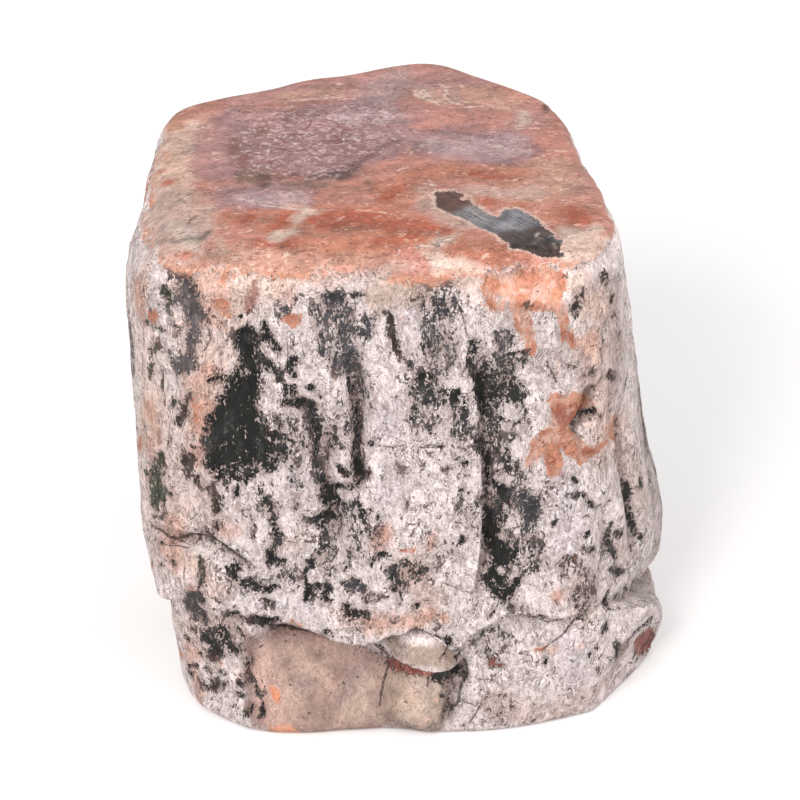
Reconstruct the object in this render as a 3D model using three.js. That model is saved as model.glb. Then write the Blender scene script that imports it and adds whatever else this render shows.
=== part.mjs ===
// Petrified wood specimen: one block of silicified wood, cut flat on top and broken
// on every other side. It stands on its base, +Z up, front towards -Y.
//
// The side is charted by two numbers: s, the way round the block in millimetres,
// measured at mid height from the middle of the front (+ to the right), and z, the
// height. Eight soft-cornered faces give its plan at each height, a ledge runs right
// round it, and grooves, dishes, terraces and lumps are added to that as depths.

import * as THREE from "three";

// ---- Driving dimensions: millimetres and degrees ----

const HEIGHT = 75;
const CHART_HEIGHT = 37.5; // where the way round is measured
const CORNER_SHARPNESS = 16; // larger is a crisper corner between two faces

// Each face looks along an azimuth (0 is the front, + to the right) and stands off
// from the axis by a distance that changes with height: [height, distance].
const FACES = [
  { name: "front", azimuth: 0,
    below: [[0, 27], [10, 26.7], [22, 26.4]],
    above: [[17, 29.6], [30, 29.9], [45, 30], [62, 29.5], [75, 28]] },
  { name: "front right", azimuth: 22,
    below: [[0, 30.8], [4, 32.2], [8, 32.9], [22, 33.4]],
    above: [[17, 34], [30, 35], [50, 35.5], [75, 35]] },
  { name: "right front", azimuth: 60,
    below: [[0, 36.8], [6, 39], [14, 39.4], [22, 36]],
    above: [[17, 35.4], [22, 37], [32, 37.8], [45, 35.8], [60, 36.4], [75, 36.6]] },
  { name: "right", azimuth: 100,
    below: [[0, 34], [4, 35.6], [9, 37], [14, 37.4], [22, 34]],
    above: [[10, 34.8], [17, 36], [25, 36], [31, 34.6], [45, 32], [60, 29.2], [75, 26.2]] },
  { name: "back right", azimuth: 143,
    below: [[0, 28], [22, 27.4]],
    above: [[17, 28.4], [30, 28], [60, 27.4], [75, 27.6]] },
  { name: "back left", azimuth: -157,
    below: [[0, 26], [22, 25.4]],
    above: [[17, 27], [30, 26.6], [60, 26.8], [75, 26.8]] },
  { name: "left", azimuth: -92,
    below: [[0, 29.4], [8, 30], [22, 30.6]],
    above: [[15, 31.2], [20, 31.8], [30, 33], [45, 34], [60, 33.7], [75, 32.2]] },
  { name: "front left", azimuth: -38,
    below: [[0, 33], [15, 34.2], [22, 34.6]],
    above: [[17, 36.2], [24, 36.6], [45, 38.5], [60, 39.7], [75, 40.3]] },
];

// The ledge that overhangs the lower part: its height at each way round, [s, z].
const LEDGE = [
  [-50, 17], [-40, 18], [-33, 19.6], [-28, 20.8], [-24, 20.6], [-19.5, 21.6], [-15, 21],
  [-10, 18.9], [-5, 17.2], [-1, 18.6], [3, 19.7], [6, 18.4], [9, 16.8], [12, 20], [15, 22],
  [19.5, 20.8], [24, 19.6], [28, 19.3], [32, 18.2], [36, 16.6], [40, 15.2], [44, 13.4],
  [48, 11.4], [53, 9.9], [58, 9.8], [64, 12.5], [70, 17], [75, 20], [90, 17.5], [103, 18.5],
  [119, 20], [134, 18], [149, 18.5],
];
const LEDGE_HALF_THICKNESS = 0.35; // of the shelf's own small round
const UNDERCUT_REACH = 1.3; // how far down the gap under the ledge goes

// How deep the gap under the ledge cuts back, [s, depth].
const UNDERCUT = [[-21.5, 0], [-19.5, 2.2], [-16, 1.8], [-14, 0.8], [-6, 0.4], [-2, 0]];

// Two lobes on the right curve in to the ledge and leave a notch between them.
const NOTCH = { s: 50.5, halfLength: 8, depth: 5, reach: 1.3 };

// Gullies along the grain: a path of [s, z], with its width and depth.
const GROOVES = [
  { path: [[-13.5, 59], [-10.3, 51.5], [-9.6, 47.5], [-8.6, 43], [-8, 37], [-9, 31]],
    width: 1.9, depth: 1.7 },
  { path: [[-5, 64], [-4.7, 55], [-4.6, 48], [-4.7, 40]], width: 1.2, depth: 1.5 },
  { path: [[27.8, 55.5], [26.6, 52], [24.6, 48.5]], width: 1.3, depth: 3 },
  { path: [[-32.5, 22.5], [-27.5, 19], [-25, 16], [-21, 9]], width: 2, depth: 1.4 },
  { path: [[10.3, 14], [9.9, 8.5], [8.7, 5.5], [8, 0.5]], width: 1, depth: 1.5 },
  { path: [[36, 50], [36.4, 35], [37.6, 29], [40.2, 20]], width: 1.4, depth: 1.4 },
  { path: [[30.2, 38], [31, 29], [31.6, 20]], width: 1.5, depth: 1 },
  { path: [[45.5, 38], [47, 28], [49, 20], [50, 11]], width: 1.3, depth: 1.4 },
  { path: [[-35, 31.3], [-29, 31.9], [-25, 32.9], [-22.6, 31.5], [-20.2, 30], [-17, 28.5]],
    width: 0.9, depth: 0.9 },
  { path: [[66, 66], [67.5, 50], [66, 36], [68, 24]], width: 1.8, depth: 1.8 },
  { path: [[-72, 62], [-70, 46], [-72.5, 30]], width: 2, depth: 1.9 },
  { path: [[88, 70], [90, 56], [88.5, 44]], width: 1.3, depth: 1.2 },
];

// Broad hollows and, with a negative depth, plates and lobes that stand proud.
const DISHES = [
  { centre: [-20, 54.8], radii: [3.9, 11.2], turn: 2, depth: 1.2, softness: 0.35 },
  { centre: [-8.5, 11], radii: [8, 6.5], turn: 0, depth: 1.2, softness: 0.8 },
  { centre: [4.6, 15.4], radii: [5.8, 3.4], turn: -14, depth: -2.4, softness: 0.18 },
  { centre: [3.8, 6], radii: [6.2, 5], turn: -4, depth: -0.6, softness: 0.3 },
  { centre: [54, 17], radii: [6, 7], turn: 0, depth: -0.9, softness: 0.5 },
  { centre: [14.5, 22.5], radii: [3.6, 2.4], turn: 20, depth: -0.9, softness: 0.5 },
  { centre: [-32, 60], radii: [4, 9], turn: -8, depth: 0.8, softness: 0.6 },
  { centre: [96, 42], radii: [7, 13], turn: 6, depth: 1.7, softness: 0.5 },
  { centre: [-86, 48], radii: [6, 12], turn: -5, depth: 1.4, softness: 0.6 },
  { centre: [58, 74], radii: [10, 7], turn: 0, depth: 1.2, softness: 0.6 },
  { centre: [76, 12], radii: [8, 5], turn: 8, depth: -1, softness: 0.5 },
  { centre: [-62, 34], radii: [5, 8], turn: 0, depth: -1, softness: 0.7 },
];

// Steps in the bark side: the surface drops on the right of a path that runs down,
// and comes back to level as it gets away from it.
const TERRACES = [
  { path: [[10.6, 68], [11.2, 59], [12.1, 46], [12.1, 38], [11.8, 31], [10.9, 25], [9.4, 20]],
    depth: 3.3, edge: 0.7, fade: 6.5 },
  { path: [[58, 70], [56.5, 56], [58, 40], [55.5, 26]], depth: 1.8, edge: 1, fade: 7 },
  { path: [[-98, 68], [-100, 52], [-97, 36], [-99, 22]], depth: 2, edge: 1, fade: 8 },
];

// Lumps of the broken surface: height, size across and size along the grain.
const LUMPS = [
  { height: 0.75, across: 11, along: 17, seed: 1 },
  { height: 0.45, across: 6, along: 13, seed: 2 },
];

// Small corners knocked off flat: a point on the break and the way that it faces.
const CHIPS = [
  { point: [-32.6, 9, 73.4], facing: [-0.8, 0.35, 0.5] },
  { point: [21.8, 14.6, 74], facing: [0.85, 0.35, 0.4] },
  { point: [34.7, -10, 0], facing: [0.8, -0.54, -0.27] },
  { point: [-14, 27.5, 70], facing: [-0.2, 0.85, 0.45] },
];

// The edge between the cut top and the sides is worn round, most at the front left.
const TOP_EDGE = { least: 2.5, front: 4.5, frontSpread: 50, left: 4, leftAt: -60, leftSpread: 35 };
// The base's edge is a small round, larger where the front lifts off the ground.
const FOOT_EDGE = { least: 1.6, lift: 1.6, liftAt: -1, liftSpread: 9 };

// The mesh: columns between the block's four plan corners, and rows up each column.
const PLAN_CORNERS = [-35, 32, 76, 129];
const COLUMNS_WIDE = 28;
const COLUMNS_DEEP = 20;
const ROWS = { foot: 2, below: 7, above: 20, edge: 4 };

// ---- Curves and distances ----

const radians = THREE.MathUtils.degToRad;

/** Smooth 0 to 1 switch that passes 0.5 at zero. */
function softStep(t) {
  return 1 / (1 + Math.exp(-4 * t));
}

/** Bell that is 1 at zero and gone by about two. */
function bell(t) {
  return Math.exp(-t * t);
}

/** Value at x of the smooth curve through the knots, which never overshoots them. */
function curve(knots, x) {
  const last = knots.length - 1;
  const at = THREE.MathUtils.clamp(x, knots[0][0], knots[last][0]);
  const slope = (i) => (knots[i + 1][1] - knots[i][1]) / (knots[i + 1][0] - knots[i][0]);
  const tangent = (i) => {
    if (i === 0) return slope(0);
    if (i === last) return slope(last - 1);
    const before = slope(i - 1);
    const after = slope(i);
    return before * after > 0 ? (2 * before * after) / (before + after) : 0;
  };
  let i = 0;
  while (i < last - 1 && at >= knots[i + 1][0]) i += 1;
  const span = knots[i + 1][0] - knots[i][0];
  const u = (at - knots[i][0]) / span;
  return (2 * u ** 3 - 3 * u ** 2 + 1) * knots[i][1]
    + (u ** 3 - 2 * u ** 2 + u) * span * tangent(i)
    + (3 * u ** 2 - 2 * u ** 3) * knots[i + 1][1]
    + (u ** 3 - u ** 2) * span * tangent(i + 1);
}

/** Nearest distance from (s, z) to a path, the side it is on, and how far along. */
function nearestOnPath(path, s, z) {
  const found = { distance: Infinity, right: false, along: 0 };
  let length = 0;
  for (let i = 0; i + 1 < path.length; i += 1) {
    const ds = path[i + 1][0] - path[i][0];
    const dz = path[i + 1][1] - path[i][1];
    const size = Math.hypot(ds, dz);
    const t = ((s - path[i][0]) * ds + (z - path[i][1]) * dz) / (size * size);
    const u = THREE.MathUtils.clamp(t, 0, 1);
    const es = s - path[i][0] - u * ds;
    const ez = z - path[i][1] - u * dz;
    const distance = Math.hypot(es, ez);
    if (distance < found.distance) {
      found.distance = distance;
      found.right = ds * ez - dz * es > 0;
      found.along = length + u * size;
    }
    length += size;
  }
  found.along /= length;
  return found;
}

/** 0 at the two ends of a path and 1 along its middle. */
function taper(along, share) {
  return THREE.MathUtils.smoothstep(Math.min(along, 1 - along), 0, share);
}

// ---- Lumps: smooth noise from hashed lattice values ----

/** Repeatable value from -1 to 1 for a lattice point. */
function latticeValue(ix, iy, iz, seed) {
  let h = Math.imul(ix, 374761393) + Math.imul(iy, 668265263);
  h = (h + Math.imul(iz, 1274126177) + Math.imul(seed, 3266489917)) | 0;
  h ^= h >>> 15;
  h = Math.imul(h, 2246822519);
  h ^= h >>> 13;
  h = Math.imul(h, 3266489917);
  h ^= h >>> 16;
  return (h >>> 0) / 2147483647.5 - 1;
}

/** Noise from -1 to 1 that blends the eight lattice values round a point. */
function smoothNoise(x, y, z, seed) {
  const cell = [x, y, z].map(Math.floor);
  const blend = [x, y, z].map((v, i) => THREE.MathUtils.smootherstep(v - cell[i], 0, 1));
  let total = 0;
  for (let corner = 0; corner < 8; corner += 1) {
    const far = [corner & 1, (corner >> 1) & 1, (corner >> 2) & 1];
    const weight = far.reduce((w, f, i) => w * (f ? blend[i] : 1 - blend[i]), 1);
    total += weight * latticeValue(cell[0] + far[0], cell[1] + far[1], cell[2] + far[2], seed);
  }
  return total;
}

/** How far the lumps stand out at a point. */
function lumpHeight(point) {
  return LUMPS.reduce((sum, lump) => {
    const { height, across, along, seed } = lump;
    return sum + height * smoothNoise(point.x / across, point.y / across, point.z / along, seed);
  }, 0);
}

// ---- Plan and chart ----

/** Distance from the axis to the faces, along an azimuth and at a height. */
function faceDistance(azimuth, z, tier) {
  let total = 0;
  for (const face of FACES) {
    const facing = Math.max(Math.cos(radians(azimuth - face.azimuth)), 0);
    total += (facing / curve(face[tier], z)) ** CORNER_SHARPNESS;
  }
  return total ** (-1 / CORNER_SHARPNESS);
}

/** Point at a distance from the axis along an azimuth. */
function planPoint(azimuth, distance, z) {
  const turn = radians(azimuth);
  return new THREE.Vector3(distance * Math.sin(turn), -distance * Math.cos(turn), z);
}

/** Table that turns the way round the block into an azimuth, from step chords. */
function chartTable() {
  const steps = 1440;
  const table = [];
  let way = 0;
  let front = 0;
  let previous = null;
  for (let i = 0; i <= steps; i += 1) {
    const azimuth = -180 + (360 * i) / steps;
    const distance = faceDistance(azimuth, CHART_HEIGHT, "above");
    const point = planPoint(azimuth, distance, 0);
    if (previous) way += point.distanceTo(previous);
    if (azimuth === 0) front = way;
    table.push([way, azimuth]);
    previous = point;
  }
  return table.map(([s, azimuth]) => [s - front, azimuth]);
}

const CHART = chartTable();
const CHART_START = CHART[0][0];
const WAY_ROUND = CHART[CHART.length - 1][0] - CHART_START;

/** The way round brought into the chart's own range. */
function wrapWay(s) {
  return THREE.MathUtils.euclideanModulo(s - CHART_START, WAY_ROUND) + CHART_START;
}

/** Azimuth of a way round, read between the chart's entries. */
function azimuthOf(s) {
  const way = wrapWay(s);
  let low = 0;
  let high = CHART.length - 1;
  while (high - low > 1) {
    const middle = (low + high) >> 1;
    if (CHART[middle][0] <= way) low = middle;
    else high = middle;
  }
  const share = (way - CHART[low][0]) / (CHART[high][0] - CHART[low][0]);
  return CHART[low][1] + share * (CHART[high][1] - CHART[low][1]);
}

// The ledge's knots repeated before and after, so that it closes on itself.
const LEDGE_ROUND = [-1, 0, 1].flatMap((lap) => LEDGE
  .filter(([s]) => s < LEDGE[0][0] + WAY_ROUND)
  .map(([s, z]) => [s + lap * WAY_ROUND, z]));

const ledgeHeight = (s) => curve(LEDGE_ROUND, wrapWay(s));

// ---- Relief on the side ----

/** How far the side is cut back at (s, z); negative where it stands proud. */
function reliefDepth(way, z) {
  const s = wrapWay(way);
  let depth = 0;
  for (const groove of GROOVES) {
    const near = nearestOnPath(groove.path, s, z);
    depth += groove.depth * bell(near.distance / groove.width) * taper(near.along, 0.2);
  }
  for (const dish of DISHES) {
    const turn = radians(dish.turn);
    const ds = s - dish.centre[0];
    const dz = z - dish.centre[1];
    const across = (ds * Math.cos(turn) + dz * Math.sin(turn)) / dish.radii[0];
    const up = (dz * Math.cos(turn) - ds * Math.sin(turn)) / dish.radii[1];
    depth += dish.depth * softStep((1 - Math.hypot(across, up)) / dish.softness / 2);
  }
  for (const terrace of TERRACES) {
    const near = nearestOnPath(terrace.path, s, z);
    const reach = near.right ? near.distance : -near.distance;
    depth += terrace.depth * softStep(reach / terrace.edge)
      * Math.exp(-Math.max(reach, 0) / terrace.fade) * taper(near.along, 0.3);
  }
  const beside = Math.exp(-(((s - NOTCH.s) / NOTCH.halfLength) ** 4));
  depth += NOTCH.depth * beside * Math.exp(-Math.abs(z - ledgeHeight(s)) / NOTCH.reach);
  return depth;
}

/** Point of the side at (s, z) on the part below or above the ledge, cut in by inset. */
function sidePoint(s, z, tier, inset) {
  const azimuth = azimuthOf(s);
  let distance = faceDistance(azimuth, z, tier) - reliefDepth(s, z);
  distance += lumpHeight(planPoint(azimuth, distance, z));
  if (tier === "below") {
    const drop = ledgeHeight(s) - LEDGE_HALF_THICKNESS - z;
    distance -= curve(UNDERCUT, wrapWay(s)) * bell(drop / UNDERCUT_REACH);
  }
  return planPoint(azimuth, distance - inset, z);
}

/** Radius of the round along the top edge. */
function topEdgeRadius(s) {
  const azimuth = azimuthOf(s);
  return TOP_EDGE.least + TOP_EDGE.front * bell(azimuth / TOP_EDGE.frontSpread)
    + TOP_EDGE.left * bell((azimuth - TOP_EDGE.leftAt) / TOP_EDGE.leftSpread);
}

/** Radius of the round along the base's edge. */
function footEdgeRadius(s) {
  return FOOT_EDGE.least + FOOT_EDGE.lift * bell((wrapWay(s) - FOOT_EDGE.liftAt) / FOOT_EDGE.liftSpread);
}

// ---- Mesh ----

/** The ways round of the columns: evenly spaced between each two plan corners. */
function columnWays() {
  const ends = [...PLAN_CORNERS, PLAN_CORNERS[0] + WAY_ROUND];
  const counts = [COLUMNS_WIDE, COLUMNS_DEEP, COLUMNS_WIDE, COLUMNS_DEEP];
  return counts.flatMap((count, side) => Array.from({ length: count }, (_, i) => (
    ends[side] + ((ends[side + 1] - ends[side]) * i) / count
  )));
}

/** One column's points, from the base's rim to the top's rim. */
function columnPoints(s) {
  const foot = footEdgeRadius(s);
  const edge = topEdgeRadius(s);
  const under = ledgeHeight(s) - LEDGE_HALF_THICKNESS;
  const over = ledgeHeight(s) + LEDGE_HALF_THICKNESS;
  const points = [];
  for (let i = 0; i < ROWS.foot; i += 1) {
    const turn = (Math.PI / 2) * (i / ROWS.foot);
    points.push(sidePoint(s, foot * (1 - Math.cos(turn)), "below", foot * (1 - Math.sin(turn))));
  }
  for (let i = 0; i <= ROWS.below; i += 1) {
    points.push(sidePoint(s, foot + ((under - foot) * i) / ROWS.below, "below", 0));
  }
  for (let i = 0; i <= ROWS.above; i += 1) {
    points.push(sidePoint(s, over + ((HEIGHT - edge - over) * i) / ROWS.above, "above", 0));
  }
  for (let i = 1; i <= ROWS.edge; i += 1) {
    const turn = (Math.PI / 2) * (i / ROWS.edge);
    points.push(sidePoint(s, HEIGHT - edge * (1 - Math.sin(turn)), "above", edge * (1 - Math.cos(turn))));
  }
  return points;
}

/** Points of a flat cap that fill its rim: straight blends of opposite sides. */
function capPoint(rim, i, j) {
  const wide = COLUMNS_WIDE;
  const deep = COLUMNS_DEEP;
  const at = (index) => rim[index % rim.length];
  const front = (k) => at(k);
  const right = (k) => at(wide + k);
  const back = (k) => at(2 * wide + deep - k);
  const left = (k) => at(2 * wide + 2 * deep - k);
  const u = i / wide;
  const v = j / deep;
  const point = new THREE.Vector3();
  point.addScaledVector(front(i), 1 - v).addScaledVector(back(i), v);
  point.addScaledVector(left(j), 1 - u).addScaledVector(right(j), u);
  point.addScaledVector(front(0), -(1 - u) * (1 - v)).addScaledVector(front(wide), -u * (1 - v));
  point.addScaledVector(back(0), -(1 - u) * v).addScaledVector(back(wide), -u * v);
  return point;
}

/** Cap vertices and faces added to the mesh; its edge uses the rim's own vertices. */
function addCap(vertices, faces, rimStart, facesUp) {
  const count = 2 * (COLUMNS_WIDE + COLUMNS_DEEP);
  const rim = vertices.slice(rimStart, rimStart + count);
  const index = (i, j) => {
    if (j === 0) return rimStart + i;
    if (i === COLUMNS_WIDE) return rimStart + COLUMNS_WIDE + j;
    if (j === COLUMNS_DEEP) return rimStart + 2 * COLUMNS_WIDE + COLUMNS_DEEP - i;
    if (i === 0) return rimStart + count - j;
    return inner + (i - 1) * (COLUMNS_DEEP - 1) + (j - 1);
  };
  const inner = vertices.length;
  for (let i = 1; i < COLUMNS_WIDE; i += 1) {
    for (let j = 1; j < COLUMNS_DEEP; j += 1) vertices.push(capPoint(rim, i, j));
  }
  for (let i = 0; i < COLUMNS_WIDE; i += 1) {
    for (let j = 0; j < COLUMNS_DEEP; j += 1) {
      const corners = [index(i, j), index(i + 1, j), index(i + 1, j + 1), index(i, j + 1)];
      if (!facesUp) corners.reverse();
      faces.push(corners[0], corners[1], corners[2], corners[0], corners[2], corners[3]);
    }
  }
}

/** Knocks off the corners: what stands beyond a break is laid flat on to it. */
function breakCorners(vertices) {
  for (const chip of CHIPS) {
    const facing = new THREE.Vector3(...chip.facing).normalize();
    const plane = new THREE.Plane().setFromNormalAndCoplanarPoint(facing, new THREE.Vector3(...chip.point));
    for (const vertex of vertices) {
      const beyond = plane.distanceToPoint(vertex);
      if (beyond > 0) vertex.addScaledVector(facing, -beyond);
    }
  }
}

/** The whole closed surface, its origin under the middle of its box. */
function stoneGeometry() {
  const columns = columnWays().map(columnPoints);
  const rows = columns[0].length;
  const vertices = [];
  for (let row = 0; row < rows; row += 1) {
    for (const column of columns) vertices.push(column[row]);
  }
  const faces = [];
  for (let row = 0; row + 1 < rows; row += 1) {
    for (let i = 0; i < columns.length; i += 1) {
      const next = (i + 1) % columns.length;
      const a = row * columns.length + i;
      const b = row * columns.length + next;
      faces.push(a, b, b + columns.length, a, b + columns.length, a + columns.length);
    }
  }
  addCap(vertices, faces, (rows - 1) * columns.length, true);
  addCap(vertices, faces, 0, false);
  breakCorners(vertices);

  const geometry = new THREE.BufferGeometry().setFromPoints(vertices);
  geometry.setIndex(faces);
  geometry.computeBoundingBox();
  const middle = geometry.boundingBox.getCenter(new THREE.Vector3());
  geometry.translate(-middle.x, -middle.y, -geometry.boundingBox.min.z);
  geometry.computeVertexNormals();
  return geometry;
}

// ---- The part ----

const silicifiedWood = new THREE.MeshStandardMaterial({
  name: "silicified_wood",
  color: 0xd0b4b0,
  roughness: 0.6,
  metalness: 0,
});

const specimen = new THREE.Group();
const stone = new THREE.Mesh(stoneGeometry(), silicifiedWood);
stone.name = "stone";
specimen.add(stone);

export default specimen;
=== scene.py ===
"""Petrified wood specimen: one upright block of silicified wood, cut flat on top.

The block stands on its base, +Z up and front towards -Y. One closed fine surface
stands for the plain solid. It repeats the solid's faces, ledge, grooves, dishes,
terraces and lumps, and adds the grain, the pits and the thin broken crust.

A place on the side is (s, z): s is the way round the block in millimetres at mid
height, from the middle of the front and + to the right, and z is the height. A
place on the cut top is (x, y). All lengths are millimetres until the mesh is put
in, which is in metres.
"""

import logging
import math
from collections.abc import Callable
from dataclasses import dataclass, field
from enum import Enum

import bpy
import numpy as np
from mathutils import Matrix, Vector


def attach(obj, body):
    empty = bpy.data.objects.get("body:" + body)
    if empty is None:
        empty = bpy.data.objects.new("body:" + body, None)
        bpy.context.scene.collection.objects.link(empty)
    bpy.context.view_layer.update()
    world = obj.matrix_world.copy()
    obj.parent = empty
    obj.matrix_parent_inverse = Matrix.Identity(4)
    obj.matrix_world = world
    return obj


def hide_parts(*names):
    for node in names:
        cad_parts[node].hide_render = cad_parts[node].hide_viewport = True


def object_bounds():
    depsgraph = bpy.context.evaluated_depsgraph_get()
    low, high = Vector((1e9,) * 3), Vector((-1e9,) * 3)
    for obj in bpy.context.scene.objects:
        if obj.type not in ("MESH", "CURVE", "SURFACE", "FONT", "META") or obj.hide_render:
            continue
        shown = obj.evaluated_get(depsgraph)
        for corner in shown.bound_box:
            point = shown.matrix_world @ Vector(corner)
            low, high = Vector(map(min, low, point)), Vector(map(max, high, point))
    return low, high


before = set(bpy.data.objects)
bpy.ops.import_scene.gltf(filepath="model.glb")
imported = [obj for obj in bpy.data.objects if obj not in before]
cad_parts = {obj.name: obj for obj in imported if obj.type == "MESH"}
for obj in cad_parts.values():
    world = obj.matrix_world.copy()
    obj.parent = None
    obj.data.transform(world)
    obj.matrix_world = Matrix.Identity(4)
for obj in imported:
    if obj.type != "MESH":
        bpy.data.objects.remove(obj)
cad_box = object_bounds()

log = logging.getLogger("petrified_wood")

Array = np.ndarray
Knots = tuple[tuple[float, float], ...]
Mark = tuple[float, ...]
Marks = tuple[Mark, ...]
Place = tuple[float, float, float]
Colour = tuple[float, float, float]

MM = 0.001
STUDIO_LIGHT = 1.05
FAR = 3.0


# ---------------------------------------------------------------- curves and steps


def soft_step(t: Array) -> Array:
    """Smooth 0 to 1 switch that passes 0.5 at zero."""
    return 1 / (1 + np.exp(-4 * np.clip(t, -50, 50)))


def bell(t: Array) -> Array:
    """Bell that is 1 at zero and gone by about two."""
    return np.exp(-np.square(t))


def ease(t: Array) -> Array:
    """Smooth step that is 0 up to zero and 1 from one."""
    u = np.clip(t, 0, 1)
    return u * u * (3 - 2 * u)


def curve(knots: Knots, x: Array) -> Array:
    """Value at x of the smooth curve through the knots, which never overshoots them.

    Cubic pieces whose slope at an inner knot is the harmonic mean of the slopes
    beside it, or zero at a peak; outside the knots the end value holds.
    """
    places = np.array([k[0] for k in knots], float)
    values = np.array([k[1] for k in knots], float)
    steps = np.diff(places)
    slopes = np.diff(values) / steps
    tangents = np.zeros_like(values)
    before, after = slopes[:-1], slopes[1:]
    total = np.where(before + after == 0, 1, before + after)
    tangents[1:-1] = np.where(before * after > 0, 2 * before * after / total, 0)
    tangents[0], tangents[-1] = slopes[0], slopes[-1]
    at = np.clip(x, places[0], places[-1])
    i = np.clip(np.searchsorted(places, at, side="right") - 1, 0, len(steps) - 1)
    u = (at - places[i]) / steps[i]
    return (
        (2 * u**3 - 3 * u**2 + 1) * values[i]
        + (u**3 - 2 * u**2 + u) * steps[i] * tangents[i]
        + (3 * u**2 - 2 * u**3) * values[i + 1]
        + (u**3 - u**2) * steps[i] * tangents[i + 1]
    )


@dataclass(frozen=True)
class Nearness:
    """How places lie to a path: distance, which side, and the share of it passed."""

    distance: Array
    signed: Array
    along: Array


def near_path(path: Knots, a: Array, b: Array) -> Nearness:
    """How (a, b) lies to a path of straight pieces.

    Each piece is measured at the foot of the perpendicular, held to its ends, and
    the nearest piece counts. The signed distance is + on the right of a path that
    runs down.
    """
    best = np.full(np.shape(a), np.inf)
    signed = np.zeros(np.shape(a))
    along = np.zeros(np.shape(a))
    length = 0.0
    for (a0, b0), (a1, b1) in zip(path[:-1], path[1:]):
        da, db = a1 - a0, b1 - b0
        size = math.hypot(da, db)
        u = np.clip(((a - a0) * da + (b - b0) * db) / size**2, 0, 1)
        ea, eb = a - a0 - u * da, b - b0 - u * db
        distance = np.hypot(ea, eb)
        closer = distance < best
        best = np.where(closer, distance, best)
        signed = np.where(closer, np.where(da * eb - db * ea > 0, distance, -distance), signed)
        along = np.where(closer, length + u * size, along)
        length += size
    return Nearness(best, signed, along / length)


def taper(along: Array, share: float) -> Array:
    """0 at the two ends of a path and 1 along its middle."""
    return ease(np.minimum(along, 1 - along) / share)


# ---------------------------------------------------------------- noise


def lattice_value(ix: Array, iy: Array, iz: Array, seed: int) -> Array:
    """Repeatable value from -1 to 1 for lattice points: a 32-bit mix of the indices."""
    parts = [n.astype(np.int64).astype(np.uint32) for n in (ix, iy, iz)]
    h = parts[0] * np.uint32(374761393) + parts[1] * np.uint32(668265263)
    h = h + parts[2] * np.uint32(1274126177) + np.uint32(seed * 3266489917 % 2**32)
    h ^= h >> np.uint32(15)
    h = h * np.uint32(2246822519)
    h ^= h >> np.uint32(13)
    h = h * np.uint32(3266489917)
    h ^= h >> np.uint32(16)
    return h / 2147483647.5 - 1


def smooth_noise(x: Array, y: Array, z: Array, seed: int) -> Array:
    """Noise from -1 to 1: the eight lattice values round a place, blended smoothly."""
    cells = [np.floor(v) for v in (x, y, z)]
    shares = [v - c for v, c in zip((x, y, z), cells)]
    blends = [t**3 * (t * (6 * t - 15) + 10) for t in shares]
    total = np.zeros(np.shape(x))
    for corner in range(8):
        far = [corner & 1, corner >> 1 & 1, corner >> 2 & 1]
        weight = np.ones(np.shape(x))
        for use_far, blend in zip(far, blends):
            weight = weight * (blend if use_far else 1 - blend)
        total += weight * lattice_value(*(c + f for c, f in zip(cells, far)), seed)
    return total


@dataclass(frozen=True)
class Grain:
    """Noise stretched along the wood: its height, and its size across and along."""

    height: float
    across: float
    along: float
    seed: int

    def at(self, points: Array) -> Array:
        """Height of this grain at points of three coordinates."""
        x, y, z = np.moveaxis(points, -1, 0)
        noise = smooth_noise(x / self.across, y / self.across, z / self.along, self.seed)
        return self.height * noise


# ---------------------------------------------------------------- the block's form


class Tier(Enum):
    """The part of the side below the ledge, or the part above it."""

    BELOW = "below"
    ABOVE = "above"


@dataclass(frozen=True)
class Face:
    """A broad face of the side: where it looks, and its distance from the axis."""

    azimuth: float
    below: Knots
    above: Knots


@dataclass(frozen=True)
class Groove:
    """A gully along the grain."""

    path: Knots
    width: float
    depth: float


@dataclass(frozen=True)
class Dish:
    """A broad hollow or, with a negative depth, a plate that stands proud."""

    centre: tuple[float, float]
    radii: tuple[float, float]
    turn: float
    depth: float
    softness: float


@dataclass(frozen=True)
class Terrace:
    """A step that drops to the right of a path running down, and dies away."""

    path: Knots
    depth: float
    edge: float
    fade: float


@dataclass(frozen=True)
class Chip:
    """A corner knocked off flat: a point on the break and the way that it faces."""

    point: Place
    facing: Place


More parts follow.
